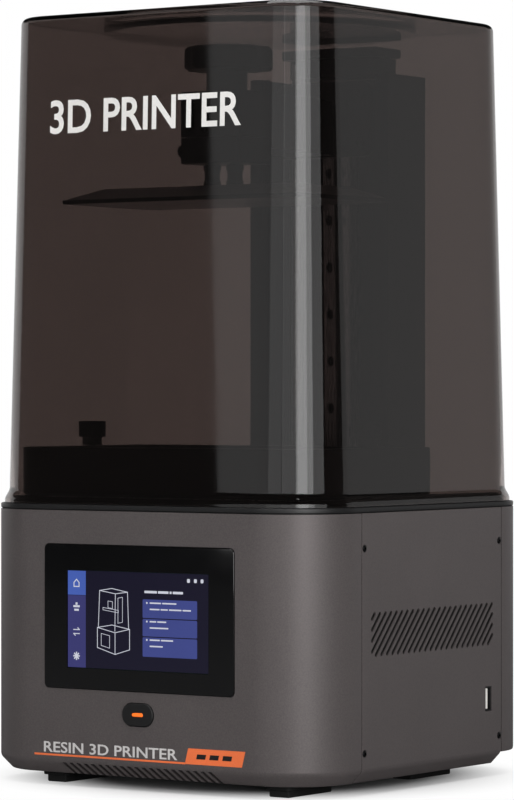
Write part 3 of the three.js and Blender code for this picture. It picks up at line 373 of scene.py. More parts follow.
class Shape:
    """A closed solid in millimetres, shaped with bmesh operators."""

    def __init__(self, mesh: bmesh.types.BMesh | None = None) -> None:
        """Starts from a mesh, or from nothing."""
        self.mesh = mesh or bmesh.new()

    @classmethod
    def stack(cls, size: Pair, corner: float, start: float, steps: Iterable[Pair], at: Pair = (0, 0),
              segments: int = CORNER_SEGMENTS) -> "Shape":
        """A solid that rises or falls from a round-cornered outline in steps.

        Args:
            size: the first outline's width and depth.
            corner: its corner radius, 0 for square corners.
            start: its level.
            steps: an inset and a rise for each step. All rises have one sign, and a negative inset widens.
            at: the outline's middle.
            segments: facets in each corner.

        Returns:
            The closed solid.
        """
        steps = list(steps)
        mesh = bmesh.new()
        bmesh.ops.create_grid(mesh, x_segments=1, y_segments=1, size=0.5)
        bmesh.ops.scale(mesh, vec=(size[0], size[1], 1), verts=mesh.verts)
        if corner > 0:
            bmesh.ops.bevel(mesh, geom=mesh.verts[:], offset=corner, offset_type="OFFSET",
                            segments=segments, profile=0.5, affect="VERTICES", clamp_overlap=True,
                            material=-1)
            bmesh.ops.remove_doubles(mesh, verts=mesh.verts, dist=MERGE)
        bmesh.ops.translate(mesh, vec=(at[0], at[1], start), verts=mesh.verts)
        if any(rise < 0 for _, rise in steps):
            bmesh.ops.reverse_faces(mesh, faces=mesh.faces)
        mesh.normal_update()
        lid = mesh.faces[:][0]
        for inset, rise in steps:
            bmesh.ops.inset_individual(mesh, faces=[lid], thickness=inset, depth=abs(rise),
                                       use_even_offset=True)
        shape = cls(mesh)
        shape.close()
        return shape

    @classmethod
    def plate(cls, size: Pair, corner: float, low: float, high: float, edge: float = 0.3,
              at: Pair = (0, 0), segments: int = CORNER_SEGMENTS, edge_steps: int = 3) -> "Shape":
        """A plate with round corners and rounded upper and lower edges."""
        down = [(-inset, rise) for inset, rise in reversed(rounding(edge, edge_steps))]
        steps = [*down, (0, high - low - 2 * edge), *rounding(edge, edge_steps)]
        narrow = (size[0] - 2 * edge, size[1] - 2 * edge)
        return cls.stack(narrow, max(corner - edge, 0), low, steps, at, segments)

    @classmethod
    def block(cls, low: Sequence[float], high: Sequence[float]) -> "Shape":
        """A box between two corners."""
        mesh = bmesh.new()
        bmesh.ops.create_cube(mesh, size=1)
        bmesh.ops.scale(mesh, vec=[b - a for a, b in zip(low, high)], verts=mesh.verts)
        bmesh.ops.translate(mesh, vec=[(a + b) / 2 for a, b in zip(low, high)], verts=mesh.verts)
        return cls(mesh)

    @classmethod
    def turned(cls, profile: Sequence[Pair], at: Pair = (0, 0), segments: int = 48) -> "Shape":
        """A solid spun about Z from (radius, height) points that start and end on the axis."""
        mesh = bmesh.new()
        points = [mesh.verts.new((radius, 0, height)) for radius, height in profile]
        lines = [mesh.edges.new(pair) for pair in zip(points, points[1:])]
        bmesh.ops.spin(mesh, geom=points + lines, cent=(0, 0, 0), axis=(0, 0, 1), angle=2 * math.pi,
                       steps=segments, use_merge=True)
        bmesh.ops.remove_doubles(mesh, verts=mesh.verts, dist=MERGE)
        bmesh.ops.translate(mesh, vec=(at[0], at[1], 0), verts=mesh.verts)
        shape = cls(mesh)
        shape.close()
        return shape

    @classmethod
    def rod(cls, radius: float, low: float, high: float, at: Pair = (0, 0), segments: int = 24) -> "Shape":
        """A plain round rod along Z between two levels."""
        return cls.turned([(0, low), (radius, low), (radius, high), (0, high)], at, segments)

    @classmethod
    def copy_of(cls, node: str) -> "Shape":
        """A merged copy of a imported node's solid, with its flat faces whole again."""
        mesh = bmesh.new()
        mesh.from_mesh(frame["nodes"][node].data)
        bmesh.ops.scale(mesh, vec=(1 / MM,) * 3, verts=mesh.verts)
        bmesh.ops.remove_doubles(mesh, verts=mesh.verts, dist=1e-3)
        bmesh.ops.dissolve_limit(mesh, angle_limit=math.radians(1), verts=mesh.verts, edges=mesh.edges)
        return cls(mesh)

    @classmethod
    def lettering(cls, words: str, size: Pair, thickness: float, weight: float = 0.0) -> "Shape":
        """Plain lettering on the XY plane, centred, stretched to a width and height.

        Args:
            words: what is written.
            size: its width and height.
            thickness: how far it stands up.
            weight: how much wider the strokes are on each side, as a share of the type's size.

        Returns:
            The lettering.
        """
        curve = bpy.data.curves.new("letters", "FONT")
        curve.body = words
        curve.extrude = 0.02
        curve.resolution_u = 4
        curve.offset = weight
        maker = bpy.data.objects.new("letters", curve)
        bpy.context.scene.collection.objects.link(maker)
        depsgraph = bpy.context.evaluated_depsgraph_get()
        flat = bpy.data.meshes.new_from_object(maker.evaluated_get(depsgraph))
        bpy.data.objects.remove(maker)
        bpy.data.curves.remove(curve)
        mesh = bmesh.new()
        mesh.from_mesh(flat)
        bpy.data.meshes.remove(flat)
        bmesh.ops.remove_doubles(mesh, verts=mesh.verts, dist=1e-5)
        low = [min(v.co[i] for v in mesh.verts) for i in range(3)]
        high = [max(v.co[i] for v in mesh.verts) for i in range(3)]
        middle = [(a + b) / 2 for a, b in zip(low[:2], high[:2])]
        bmesh.ops.translate(mesh, vec=(-middle[0], -middle[1], -low[2]), verts=mesh.verts)
        scale = [wanted / (b - a) for wanted, a, b in zip((*size, thickness), low, high)]
        bmesh.ops.scale(mesh, vec=scale, verts=mesh.verts)
        return cls(mesh)

    def close(self) -> None:
        """Fills open outlines and turns every face outwards."""
        mesh = self.mesh
        bmesh.ops.holes_fill(mesh, edges=[e for e in mesh.edges if e.is_boundary], sides=0)
        bmesh.ops.recalc_face_normals(mesh, faces=mesh.faces)

    def copy(self) -> "Shape":
        """Returns a copy."""
        return Shape(self.mesh.copy())

    def ease(self, width: float, steps: int = 2, least: float = 30,
             where: Callable[[Vector], bool] | None = None) -> "Shape":
        """Rounds the edges that turn by more than an angle.

        Args:
            width: how far the rounding reaches from the edge.
            steps: facets across it.
            least: the least turn in degrees.
            where: a test of an edge's middle.

        Returns:
            This shape.
        """
        mesh = self.mesh
        edges = [
            e for e in mesh.edges
            if len(e.link_faces) == 2 and e.calc_face_angle(0) > math.radians(least)
            and (where is None or where((e.verts[0].co + e.verts[1].co) / 2))
        ]
        bmesh.ops.bevel(mesh, geom=edges, offset=width, offset_type="OFFSET", segments=steps, profile=0.5,
                        affect="EDGES", clamp_overlap=True, material=-1)
        bmesh.ops.remove_doubles(mesh, verts=mesh.verts, dist=MERGE)
        return self

    def move(self, x: float = 0, y: float = 0, z: float = 0) -> "Shape":
        """Moves the shape."""
        bmesh.ops.translate(self.mesh, vec=(x, y, z), verts=self.mesh.verts)
        return self

    def turn(self, axis: str, degrees: float) -> "Shape":
        """Turns the shape about an axis through the origin."""
        spin = Matrix.Rotation(math.radians(degrees), 3, axis)
        bmesh.ops.rotate(self.mesh, cent=(0, 0, 0), matrix=spin, verts=self.mesh.verts)
        return self

    def on(self, side: Side) -> "Shape":
        """Puts a drawing on a side of the printer."""
        bmesh.ops.rotate(self.mesh, cent=(0, 0, 0), matrix=Matrix(side.value), verts=self.mesh.verts)
        return self

    def trim(self, point: Triple, normal: Triple) -> "Shape":
        """Cuts away what lies beyond a plane and closes the cut."""
        mesh = self.mesh
        bmesh.ops.bisect_plane(mesh, geom=mesh.verts[:] + mesh.edges[:] + mesh.faces[:], dist=1e-5,
                               plane_co=point, plane_no=normal, clear_outer=True)
        bmesh.ops.holes_fill(mesh, edges=[e for e in mesh.edges if e.is_boundary], sides=0)
        return self

    def with_(self, *others: "Shape") -> "Shape":
        """Takes in other solids that don't touch this one."""
        for other in others:
            loose = bpy.data.meshes.new("loose")
            other.mesh.to_mesh(loose)
            self.mesh.from_mesh(loose)
            bpy.data.meshes.remove(loose)
        return self

    def mix(self, mixing: Mixing, *others: "Shape") -> "Shape":
        """Cuts other solids out of this one, or joins them to it."""
        objects = []
        for shape in (self, Shape().with_(*others)):
            mesh = bpy.data.meshes.new("solid")
            shape.mesh.to_mesh(mesh)
            objects.append(bpy.data.objects.new("solid", mesh))
            bpy.context.scene.collection.objects.link(objects[-1])
        modifier = objects[0].modifiers.new("mix", "BOOLEAN")
        modifier.operation, modifier.solver, modifier.object = mixing.value, "EXACT", objects[1]
        depsgraph = bpy.context.evaluated_depsgraph_get()
        result = bpy.data.meshes.new_from_object(objects[0].evaluated_get(depsgraph))
        self.mesh.free()
        self.mesh = bmesh.new()
        self.mesh.from_mesh(result)
        bmesh.ops.remove_doubles(self.mesh, verts=self.mesh.verts, dist=MERGE)
        bmesh.ops.dissolve_degenerate(self.mesh, dist=MERGE, edges=self.mesh.edges)
        for mesh in [result, *(o.data for o in objects)]:
            bpy.data.meshes.remove(mesh)
        return self

    def cut(self, *others: "Shape") -> "Shape":
        """Cuts other solids out of this one."""
        return self.mix(Mixing.CUT, *others)

    def join(self, *others: "Shape") -> "Shape":
        """Joins other solids to this one."""
        return self.mix(Mixing.JOIN, *others)

    def piece(self, name: str, *nodes: str, finish: Finish | None = None, body: str = "",
              slot: str = "", smooth: float = 30) -> bpy.types.Object:
        """Makes the finished piece in metres, dressed and riding on its body.

        Args:
            name: the piece's name.
            nodes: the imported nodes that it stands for.
            finish: its finish, or else its slot's.
            body: the body that it rides on, or else its first node's.
            slot: its material slot, or else its first node's.
            smooth: edges that turn by more than this many degrees stay sharp.

        Returns:
            The new object.
        """
        slot = slot or slot_of(nodes[0])
        bmesh.ops.scale(self.mesh, vec=(MM,) * 3, verts=self.mesh.verts)
        self.mesh.normal_update()
        for face in self.mesh.faces:
            face.smooth = True
        for edge in self.mesh.edges:
            edge.smooth = edge.calc_face_angle(0) < math.radians(smooth)
        mesh = bpy.data.meshes.new(name)
        self.mesh.to_mesh(mesh)
        self.mesh.free()
        made = bpy.data.objects.new(name, mesh)
        bpy.context.scene.collection.objects.link(made)
        mesh.materials.append((finish or FINISH_OF_SLOT[slot]).material())
        even = made.modifiers.new("even_shading", "WEIGHTED_NORMAL")
        even.keep_sharp = True
        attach(made, body or body_of(nodes[0]))
        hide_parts(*nodes)
        log.info("piece %s: %d faces, on %s", name, len(mesh.polygons), body or body_of(nodes[0]))
        return made


def eased_copy(node: str, width: float, steps: int = 2) -> None:
    """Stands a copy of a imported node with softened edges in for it."""
    Shape.copy_of(node).ease(width, steps).piece(f"{node}_eased", node)


def hex_socket(across: float, depth: float, top: float) -> Shape:
    """A hexagonal recess's cutter, with a drilled point, down from a level."""
    radius = across / math.sqrt(3)
    mesh = bmesh.new()
    bmesh.ops.create_cone(mesh, cap_ends=True, segments=6, radius1=radius, radius2=radius, depth=depth + 1)
    return Shape(mesh).move(z=top + 1 - (depth + 1) / 2)


# ------------------------------------------------------------------ base
@dataclass
class BaseSkin:
    """The painted skin in four panels, with its vents, screws and feet."""

    corner: float = 36.5
    skin: float = 2.0
    chamfer: Pair = (6.0, 6.2)
    bend: float = 1.4
    edge: float = 0.45
    front_vents: int = 21
    front_vent_pitch: float = 4.5
    front_vent_width: float = 1.9
    front_vent_lean: float = 32.0
    side_vent_window: tuple[float, float, float, float] = (-55.5, 59.0, 68.0, 89.6)
    side_vent_pitch: float = 5.03
    side_vent_width: float = 2.1
    side_vent_angle: float = 47.0
    vent_skin: float = 0.7
    rear_vents: int = 9
    rear_vent_pitch: float = 6.2
    rear_vent_size: Pair = (50.0, 2.8)
    socket_bore: float = 5.8
    screw_bore: float = 1.9
    through: tuple[float, list[Pair]] = field(default_factory=lambda: (90, [(0, 20)]))
    front: Box = field(default_factory=lambda: Box.of("front_shell"))
    rear: Box = field(default_factory=lambda: Box.of("rear_shell"))
    right: Box = field(default_factory=lambda: Box.of("right_side_panel"))

    @property
    def half(self) -> float:
        """Half the skin's width."""
        return self.front.high.x

    def ring(self) -> Shape:
        """The whole skin as one ring, open at its top and bottom."""
        top, bottom = self.front.high.z, self.front.low.z
        inset, height = self.chamfer
        slant = self.skin * math.hypot(inset, height) / height
        rise = height * (1 + (slant - self.skin) / inset)
        width = 2 * self.half
        outer = Shape.stack((width, width), self.corner, top,
                            [(0, bottom + height - top), (inset, -height)])
        inner_width = width - 2 * self.skin
        drops = [(0, bottom + rise - top - 1), (inset + (slant - self.skin) + 1, -rise - height / inset)]
        inner = Shape.stack((inner_width, inner_width), self.corner - self.skin, top + 1, drops)
        ring = outer.cut(inner)
        return ring.ease(self.bend, 4, 35, lambda p: abs(p.z - bottom - height) < 0.5)

    def front_vent_cutters(self) -> list[Shape]:
        """Leaning slots in the chamfer under the front."""
        bottom, top = self.front.low.z, self.front.low.z + self.chamfer[1] - 0.3
        cutters = []
        for i in range(self.front_vents):
            x = (i - (self.front_vents - 1) / 2) * self.front_vent_pitch
            width = self.front_vent_width / 2
            slot = Shape.block((-width, -12, -12), (width, 12, 12)).turn("Y", -self.front_vent_lean)
            slot.move(x, self.front.low.y, (bottom + top) / 2)
            cutters.append(slot.trim((0, 0, top), (0, 0, 1)).trim((0, 0, bottom - 2), (0, 0, -1)))
        return cutters

    def side_vent_cutters(self, side: int) -> list[Shape]:
        """Round-ended slanted slots, shortened where they meet the ends of the vent's window."""
        y0, y1, z0, z1 = self.side_vent_window
        angle = math.radians(self.side_vent_angle)
        lean = (z1 - z0) / math.tan(angle)
        cutters = []
        for i in range(int((y1 - y0 + lean) / self.side_vent_pitch)):
            start = y0 - lean + (i + 0.7) * self.side_vent_pitch
            near = max(0.0, (y0 - start) / math.cos(angle))
            far = min((z1 - z0) / math.sin(angle), (y1 - start) / math.cos(angle))
            if far - near < 2 * self.side_vent_width:
                continue
            slot = Shape.stack((far - near, self.side_vent_width), self.side_vent_width / 2 - 0.01, -5,
                               [(0, 10)], segments=6)
            slot.move(x=(near + far) / 2).turn("Z", self.side_vent_angle).move(x=start, y=z0)
            cutters.append(slot.on(Side.RIGHT).move(x=side * self.half))
        return cutters

    def side_vent_pocket(self, side: int) -> Shape:
        """The hollow that thins the skin behind the side vents."""
        y0, y1, z0, z1 = self.side_vent_window
        inner, outer = self.half - self.skin - 1, self.half - self.vent_skin
        low, high = sorted((side * inner, side * outer))
        return Shape.block((low, y0 - 2, z0 - 2), (high, y1 + 2, z1 + 2))

    def side_vent_shade_sheet(self) -> None:
        """Makes a dark sheet behind each side vent, painted shade that keeps the view through the slots
        black.
        """
        y0, y1, z0, z1 = self.side_vent_window
        outer = self.half - self.skin - 0.1
        for side, name in ((1, "right"), (-1, "left")):
            low, high = sorted((side * (outer - 0.4), side * outer))
            # A thin black sheet just inside the skin: painted shade standing for the dark inside seen through
            # the vents.
            shade_sheet = Shape.block((low, y0 - 4, z0 - 4), (high, y1 + 4, z1 + 4))
            shade_sheet.piece(f"{name}_vent_shade_sheet", finish=RUBBER, body="printer_body", slot="black_plastic")

    def panel(self, ring: Shape, y0: float, y1: float) -> Shape:
        """The part of the ring between two levels of Y."""
        return ring.copy().trim((0, y0, 0), (0, -1, 0)).trim((0, y1, 0), (0, 1, 0))

    def build(self) -> None:
        """Makes the four panels."""
        ring = self.ring()
        bezel, button = Box.of("display_bezel"), Box.of("power_button")
        gap = 2 * FIT_GAP
        window = Shape.stack((bezel.size.x + gap, bezel.size.z + gap), 2.8, *self.through,
                             (0, bezel.centre.z), 8).on(Side.FRONT)
        light = Box.of("button_light")
        width, height = BUTTON_SIZE[0] + gap, BUTTON_SIZE[1] + gap
        hole = Shape.stack((width, height), height / 2 - 0.01, *self.through,
                           (button.centre.x, light.centre.z), 16).on(Side.FRONT)
        front = self.panel(ring, -200, self.front.high.y).ease(self.edge, 2, 40)
        front.cut(window, hole, *self.front_vent_cutters())
        front.piece("front_shell_painted", "front_shell")

        rear = ring.copy().trim((0, self.rear.low.y, 0), (0, -1, 0))
        rear.trim((0, 0, self.rear.low.z), (0, 0, -1)).ease(self.edge, 2, 40)
        fan, socket = Box.of("fan_frame").centre, Box.of("power_socket")
        slots = []
        for i in range(self.rear_vents):
            level = fan.z + (i - (self.rear_vents - 1) / 2) * self.rear_vent_pitch
            slots.append(Shape.stack(self.rear_vent_size, self.rear_vent_size[1] / 2 - 0.01, 95, [(0, 20)],
                                     (-fan.x, level), 8).on(Side.REAR))
        bore = Shape.rod(self.socket_bore, 90, 110, (-socket.centre.x, socket.centre.z), 32)
        rear.cut(bore.on(Side.REAR), *slots)
        rear.piece("rear_shell_painted", "rear_shell")

        usb = Box.of("usb_socket")
        for side, name in ((1, "right"), (-1, "left")):
            panel = self.panel(ring, self.right.low.y, self.right.high.y)
            panel.trim((0, 0, 0), (-side, 0, 0)).ease(self.edge, 2, 40)
            panel.cut(self.side_vent_pocket(side))
            cutters = self.side_vent_cutters(side)
            for place in SCREW_PLACES:
                screw = Box.of(f"panel_screw_{name}_{place}").centre
                hole = Shape.rod(self.screw_bore, -10, 10, (screw.y, screw.z), 20)
                cutters.append(hole.on(Side.RIGHT).move(x=side * self.half))
            if side > 0:
                reach = Vector((9, FIT_GAP, FIT_GAP))
                cutters.append(Shape.block(usb.low - reach, usb.high + reach))
            panel.cut(*cutters)
            panel.piece(f"{name}_side_panel_painted", f"{name}_side_panel")

    def screws(self) -> None:
        """Makes the button-head screws that hold the side panels."""
        for side, name in ((Side.RIGHT, "right"), (Side.LEFT, "left")):
            for place in SCREW_PLACES:
                node = f"panel_screw_{name}_{place}"
                box = Box.of(node)
                top, radius = box.high.x if side is Side.RIGHT else -box.low.x, box.size.y / 2
                along = box.centre.y if side is Side.RIGHT else -box.centre.y
                screw = Shape.turned([(0, top - 8), (1, top - 8), (1, top - 2), (radius, top - 2),
                                      (radius, top - 0.45), (radius * 0.86, top - 0.12), (radius * 0.6, top),
                                      (0, top)], segments=32)
                screw.cut(hex_socket(1.5, 1.0, top)).move(along, box.centre.z)
                screw.on(side).piece(f"{node}_head", node, smooth=40)

    def feet(self) -> None:
        """Makes the stepped rubber feet."""
        steps = [(0, -2.1), (0.3, -0.3), (1.7, 0), (0, -3.0), (0.2, -0.35), (0.3, -0.25)]
        for node in (f"foot_{end}_{side}" for end in ("front", "rear") for side in SIDES):
            box = Box.of(node)
            at = (box.centre.x, box.centre.y)
            foot = Shape.stack((box.size.x, box.size.y), 3, box.high.z, steps, at, 8)
            foot.ease(0.15, 2, 50, lambda p: p.z > 1).piece(f"{node}_pad", node)


@dataclass
class FrontControls:
    """The touch display, its lit drawing, the power button and the printed stripe."""

    ink: float = 0.12
    layer: float = 0.06
    lit_height: float = 0.05
    rule: tuple[Pair, Pair] = ((94, 0.95), (-18, 15.5))
    flag: tuple[Pair, Pair] = ((34.2, 7.8), (46.8, 19.1))
    flag_lean: float = 0.26
    flag_bar: Pair = (5.4, 2.4)
    flag_bar_start: float = 38.6
    flag_bar_pitch: float = 7.8
    words_size: Pair = (83, 5.4)
    words_at: Pair = (-17.5, 19.4)
    bezel: Box = field(default_factory=lambda: Box.of("display_bezel"))
    screen: Box = field(default_factory=lambda: Box.of("display_screen"))
    button: Box = field(default_factory=lambda: Box.of("power_button"))
    skin_front: float = field(default_factory=lambda: -Box.of("front_shell").low.y)

    def glass(self) -> None:
        """Makes the black glass surround and the display behind it."""
        out, back = -self.bezel.low.y, -self.bezel.high.y
        size, middle = self.bezel.size, self.bezel.centre
        surround = Shape.plate((size.x, size.z), 2.5, back, out, 0.3, (middle.x, middle.z), 12)
        pane, at = self.screen.size, (self.screen.centre.x, self.screen.centre.z)
        gap = 2 * FIT_GAP
        window = Shape.stack((pane.x + gap, pane.z + gap), 0.6, back - 1, [(0, 6)], at, 6)
        surround.cut(window).on(Side.FRONT).piece("display_surround", "display_bezel")
        display = Shape.plate((pane.x, pane.z), 0.4, -self.screen.high.y, -self.screen.low.y, 0.1, at, 4, 1)
        display.on(Side.FRONT).piece("display_panel", "display_screen")

    def tile(self, x0: float, x1: float, z0: float, z1: float, layer: int = 1,
             corner: float = 0.0) -> Shape:
        """A lit area on the display, on one of its stacked layers."""
        base = -self.screen.low.y + 0.01 + (layer - 1) * self.layer
        at = ((x0 + x1) / 2, (z0 + z1) / 2)
        return Shape.stack((x1 - x0, z1 - z0), corner, base, [(0, self.lit_height)], at, 6)

    def line(self, start: Pair, end: Pair, width: float = 0.35) -> Shape:
        """A lit line between two points of the display."""
        run = Vector((end[0] - start[0], end[1] - start[1]))
        made = self.tile(-width / 2, run.length + width / 2, -width / 2, width / 2, 3)
        return made.turn("Z", math.degrees(math.atan2(run.y, run.x))).move(start[0], start[1])

    def outline(self, points: Sequence[Pair], width: float = 0.35) -> list[Shape]:
        """A closed lit outline."""
        return [self.line(a, b, width) for a, b in zip(points, [*points[1:], points[0]])]

    def drawing(self) -> list[Shape]:
        """The line drawing of a printer on the display."""
        marks = self.outline([(-25, 70.5), (-25, 80.5), (-14, 78.2), (-14, 67.4)])
        edges = (
            ((-14, 67.4), (-5, 70)), ((-14, 78.2), (-5, 80.2)), ((-5, 70), (-5, 80.2)),
            ((-25, 80.5), (-16, 82)), ((-16, 82), (-5, 80.2)), ((-24.4, 80.8), (-23.6, 99)),
            ((-14.1, 79), (-13.8, 97.6)), ((-5.6, 80.6), (-6.3, 98.6)), ((-23.6, 99), (-13.8, 97.6)),
            ((-13.8, 97.6), (-6.3, 98.6)), ((-23.6, 99), (-16, 100.2)), ((-16, 100.2), (-6.3, 98.6)),
        )
        marks += [self.line(start, end) for start, end in edges]
        details = (
            ((-22.6, 71.6), (-22.6, 77.6), (-17.4, 76.6), (-17.4, 70.4)),
            ((-21.5, 89.4), (-12, 88.2), (-12, 89.4), (-21.5, 90.6)),
            ((-12.2, 83), (-9.4, 83.6), (-9.4, 96), (-12.2, 95.5)),
            ((-18.4, 90.5), (-15.6, 90.2), (-15.6, 93.6), (-18.4, 93.9)),
        )
        for detail in details:
            marks += self.outline(detail, 0.25)
        return marks

    def icons(self) -> list[Shape]:
        """Four plain menu signs: house, plate, arrows and cog."""
        x = -38.1
        house = self.outline([(x - 1.6, 100.6), (x - 1.6, 102.6), (x, 104.2), (x + 1.6, 102.6),
                              (x + 1.6, 100.6)], 0.5)
        plate = [self.tile(x - half, x + half, low, high, 3)
                 for half, low, high in ((2, 90.2, 91.2), (0.6, 91.4, 92.6), (1.4, 88.4, 89.4))]
        arrows = [self.line((x + a, z0), (x + b, z1), 0.45) for a, z0, b, z1 in (
            (-1.8, 79, 1.8, 79), (0.8, 79.9, 1.8, 79), (-1.8, 77, 1.8, 77), (-0.8, 76.1, -1.8, 77))]
        level, reach = 65.8, 1.7
        cog = [self.line((x - reach * math.cos(a), level - reach * math.sin(a)),
                         (x + reach * math.cos(a), level + reach * math.sin(a)), 0.7)
               for a in (math.pi * i / 4 for i in range(4))]
        return house + plate + arrows + cog

    def words(self) -> list[Shape]:
        """Rows of short bars that stand for the display's wording."""
        rows = [(4.2, 98.5, 1.2, (7.6, 6.4, 1.2, 6.2)), (7.4, 93.3, 0.7, (7, 8.6)),
                (7.4, 90.2, 0.7, (6, 4.4, 7.6, 5)), (7.4, 84.1, 0.7, (4, 5.4)), (7.4, 81.0, 0.7, (11.4,)),
                (7.4, 75.0, 0.7, (6.2, 7.4)), (7.4, 71.9, 0.7, (8,))]
        marks = []
        for x, z, height, lengths in rows:
            for length in lengths:
                marks.append(self.tile(x, x + length, z, z + height, 3, 0.2))
                x += length + 0.7
        marks += [self.tile(5.2, 6.1, z, z + 0.9, 3, 0.3) for z in (93.2, 84.0, 74.9)]
        marks += [self.tile(x, x + 1.7, 104.3, 106.2, 3, 0.5) for x in (30.2, 34.4, 38.4)]
        return marks

    def lit_drawing(self) -> None:
        """Makes the lit areas and marks of the display."""
        left, right = self.screen.low.x, self.screen.high.x
        low, high = self.screen.low.z, self.screen.high.z
        areas = [
            ("display_menu_bar", SCREEN_BAR, [self.tile(left + 0.1, -32.4, low + 0.1, 96.2)]),
            ("display_active_tile", SCREEN_TILE, [self.tile(left + 0.1, -32.4, 96.4, high - 0.1)]),
            ("display_rows", SCREEN_PANEL, [self.tile(3, 36.2, z0, z1, 1, 0.6) for z0, z1 in (
                (86.2, 95.4), (77.1, 85.7), (67.0, 76.6))]),
            ("display_marks", SCREEN_WHITE, [*self.drawing(), *self.icons(), *self.words()]),
        ]
        for name, finish, parts in areas:
            whole = Shape().with_(*parts)
            whole.on(Side.FRONT).piece(name, finish=finish, body="printer_body", slot="screen_glass")
        log.info("display drawn between %.1f and %.1f", left, right)

    def power_button(self) -> None:
        """Makes the pill-shaped button and its light."""
        light = Box.of("button_light")
        out, back, middle = -self.button.low.y, -self.button.high.y, light.centre.z
        edge = 0.7
        steps = [(0, out - back - edge), *rounding(edge, 5)]
        cap = Shape.stack(BUTTON_SIZE, 5.4, back, steps, (0, middle), 16)
        lip = Shape.stack((21.4, 13.8), 6.5, self.skin_front - 3.5, [(0, 1.2)], (0, middle), 16)
        pocket = Shape.stack((7.2, 2.2), 1.05, out - 2.8, [(0, 5)], (0, middle), 8)
        cap.join(lip).cut(pocket).on(Side.FRONT).piece("power_button_cap", "power_button")
        dash = Shape.plate((light.size.x, light.size.z), 0.79, -light.high.y, -light.low.y - 0.05, 0.2,
                           (light.centre.x, middle), 8)
        dash.on(Side.FRONT).piece("power_button_dash", "button_light")

    def leant(self, shape: Shape) -> Shape:
        """Leans a printed mark as the flag leans."""
        for vert in shape.mesh.verts:
            vert.co.x += (vert.co.y - self.flag[1][1]) * self.flag_lean
        return shape

    def stripe(self) -> None:
        """Makes the printed stripe and lettering below the button."""
        base = self.skin_front + 0.01
        rule = Shape.stack(self.rule[0], 0, base, [(0, self.ink)], self.rule[1])
        flag = self.leant(Shape.stack(self.flag[0], 0, base, [(0, self.ink)], self.flag[1]))
        words = Shape.lettering("RESIN 3D PRINTER", self.words_size, self.ink, 0.012)
        bars = [self.leant(Shape.stack(self.flag_bar, 0, base + self.ink, [(0, 0.05)],
                                       (self.flag_bar_start + self.flag_bar_pitch * i, self.flag[1][1])))
                for i in range(3)]
        printed = (("front_orange_stripe", ORANGE_INK, Shape().with_(rule, flag)),
                   ("front_lettering", GREY_INK, words.move(*self.words_at, base)),
                   ("front_flag_bars", BLACK_COAT, Shape().with_(*bars)))
        for name, finish, shape in printed:
            shape.on(Side.FRONT).piece(name, finish=finish, body="printer_body", slot="body_paint")

    def build(self) -> None:
        """Makes all the front's fittings."""
        self.glass()
        self.lit_drawing()
        self.power_button()
        self.stripe()


@dataclass
class Sockets:
    """The barrel socket for the power supply and the USB socket."""

    box: Box = field(default_factory=lambda: Box.of("power_socket"))

    def usb(self) -> None:
        """Makes the black shell of the USB socket and its white tongue."""
        Shape.copy_of("usb_socket").ease(0.12, 2).piece("usb_shell", "usb_socket")
        Shape.copy_of("usb_tongue").ease(0.2, 2).piece("usb_tongue_moulded", "usb_tongue", finish=WHITE_NYLON)

    def build(self) -> None:
        """Makes the socket with its centre pin."""
        out, back, radius = self.box.high.y, self.box.low.y, self.box.size.x / 2
        profile = [(0, back), (radius, back), (radius, out), (3.9, out), (3.9, back + 3), (1, back + 3),
                   (1, out - 2.5), (0.6, out - 2), (0, out - 2)]
        socket = Shape.turned(profile, (-self.box.centre.x, self.box.centre.z), 40)
        socket.ease(0.25, 2, 50).on(Side.REAR).piece("power_socket_barrel", "power_socket")


# ------------------------------------------------------------------ deck and vat
@dataclass
class Deck:
    """The black deck that the cover and the tower stand on."""

    corner: float = 36.5
    edge: float = 0.55
    frame_box: Box = field(default_factory=lambda: Box.of("deck_frame"))
    lcd: Box = field(default_factory=lambda: Box.of("mask_lcd"))
    thickness: float = 2.5
    screw_bore: float = 5.5

    def build(self) -> None:
        """Makes the deck plate with its skirt and window."""
        top = self.frame_box.high.z
        width = self.frame_box.size.x
        plate = Shape.plate((width, width), self.corner, top - self.thickness, top, self.edge)
        inner = width - 4.6
        skirt = Shape.stack((inner, inner), self.corner - 2.3, top - 1.2,
                            [(0, self.frame_box.low.z - top + 1.2)])
        hollow = Shape.stack((inner - 3, inner - 3), self.corner - 3.8, top - self.thickness,
                             [(0, self.frame_box.low.z - top + self.thickness - 1)])
        size, middle = self.lcd.size, self.lcd.centre
        gap = 2 * FIT_GAP
        window = Shape.stack((size.x + gap, size.y + gap), 2.3, top - 12, [(0, 20)], (middle.x, middle.y), 6)
        screw = Box.of("lead_screw").centre
        bore = Shape.rod(self.screw_bore, top - 12, top + 2, (screw.x, screw.y), 32)
        plate.join(skirt).cut(hollow).cut(window, bore)
        plate.piece("deck_plate", "deck_frame")


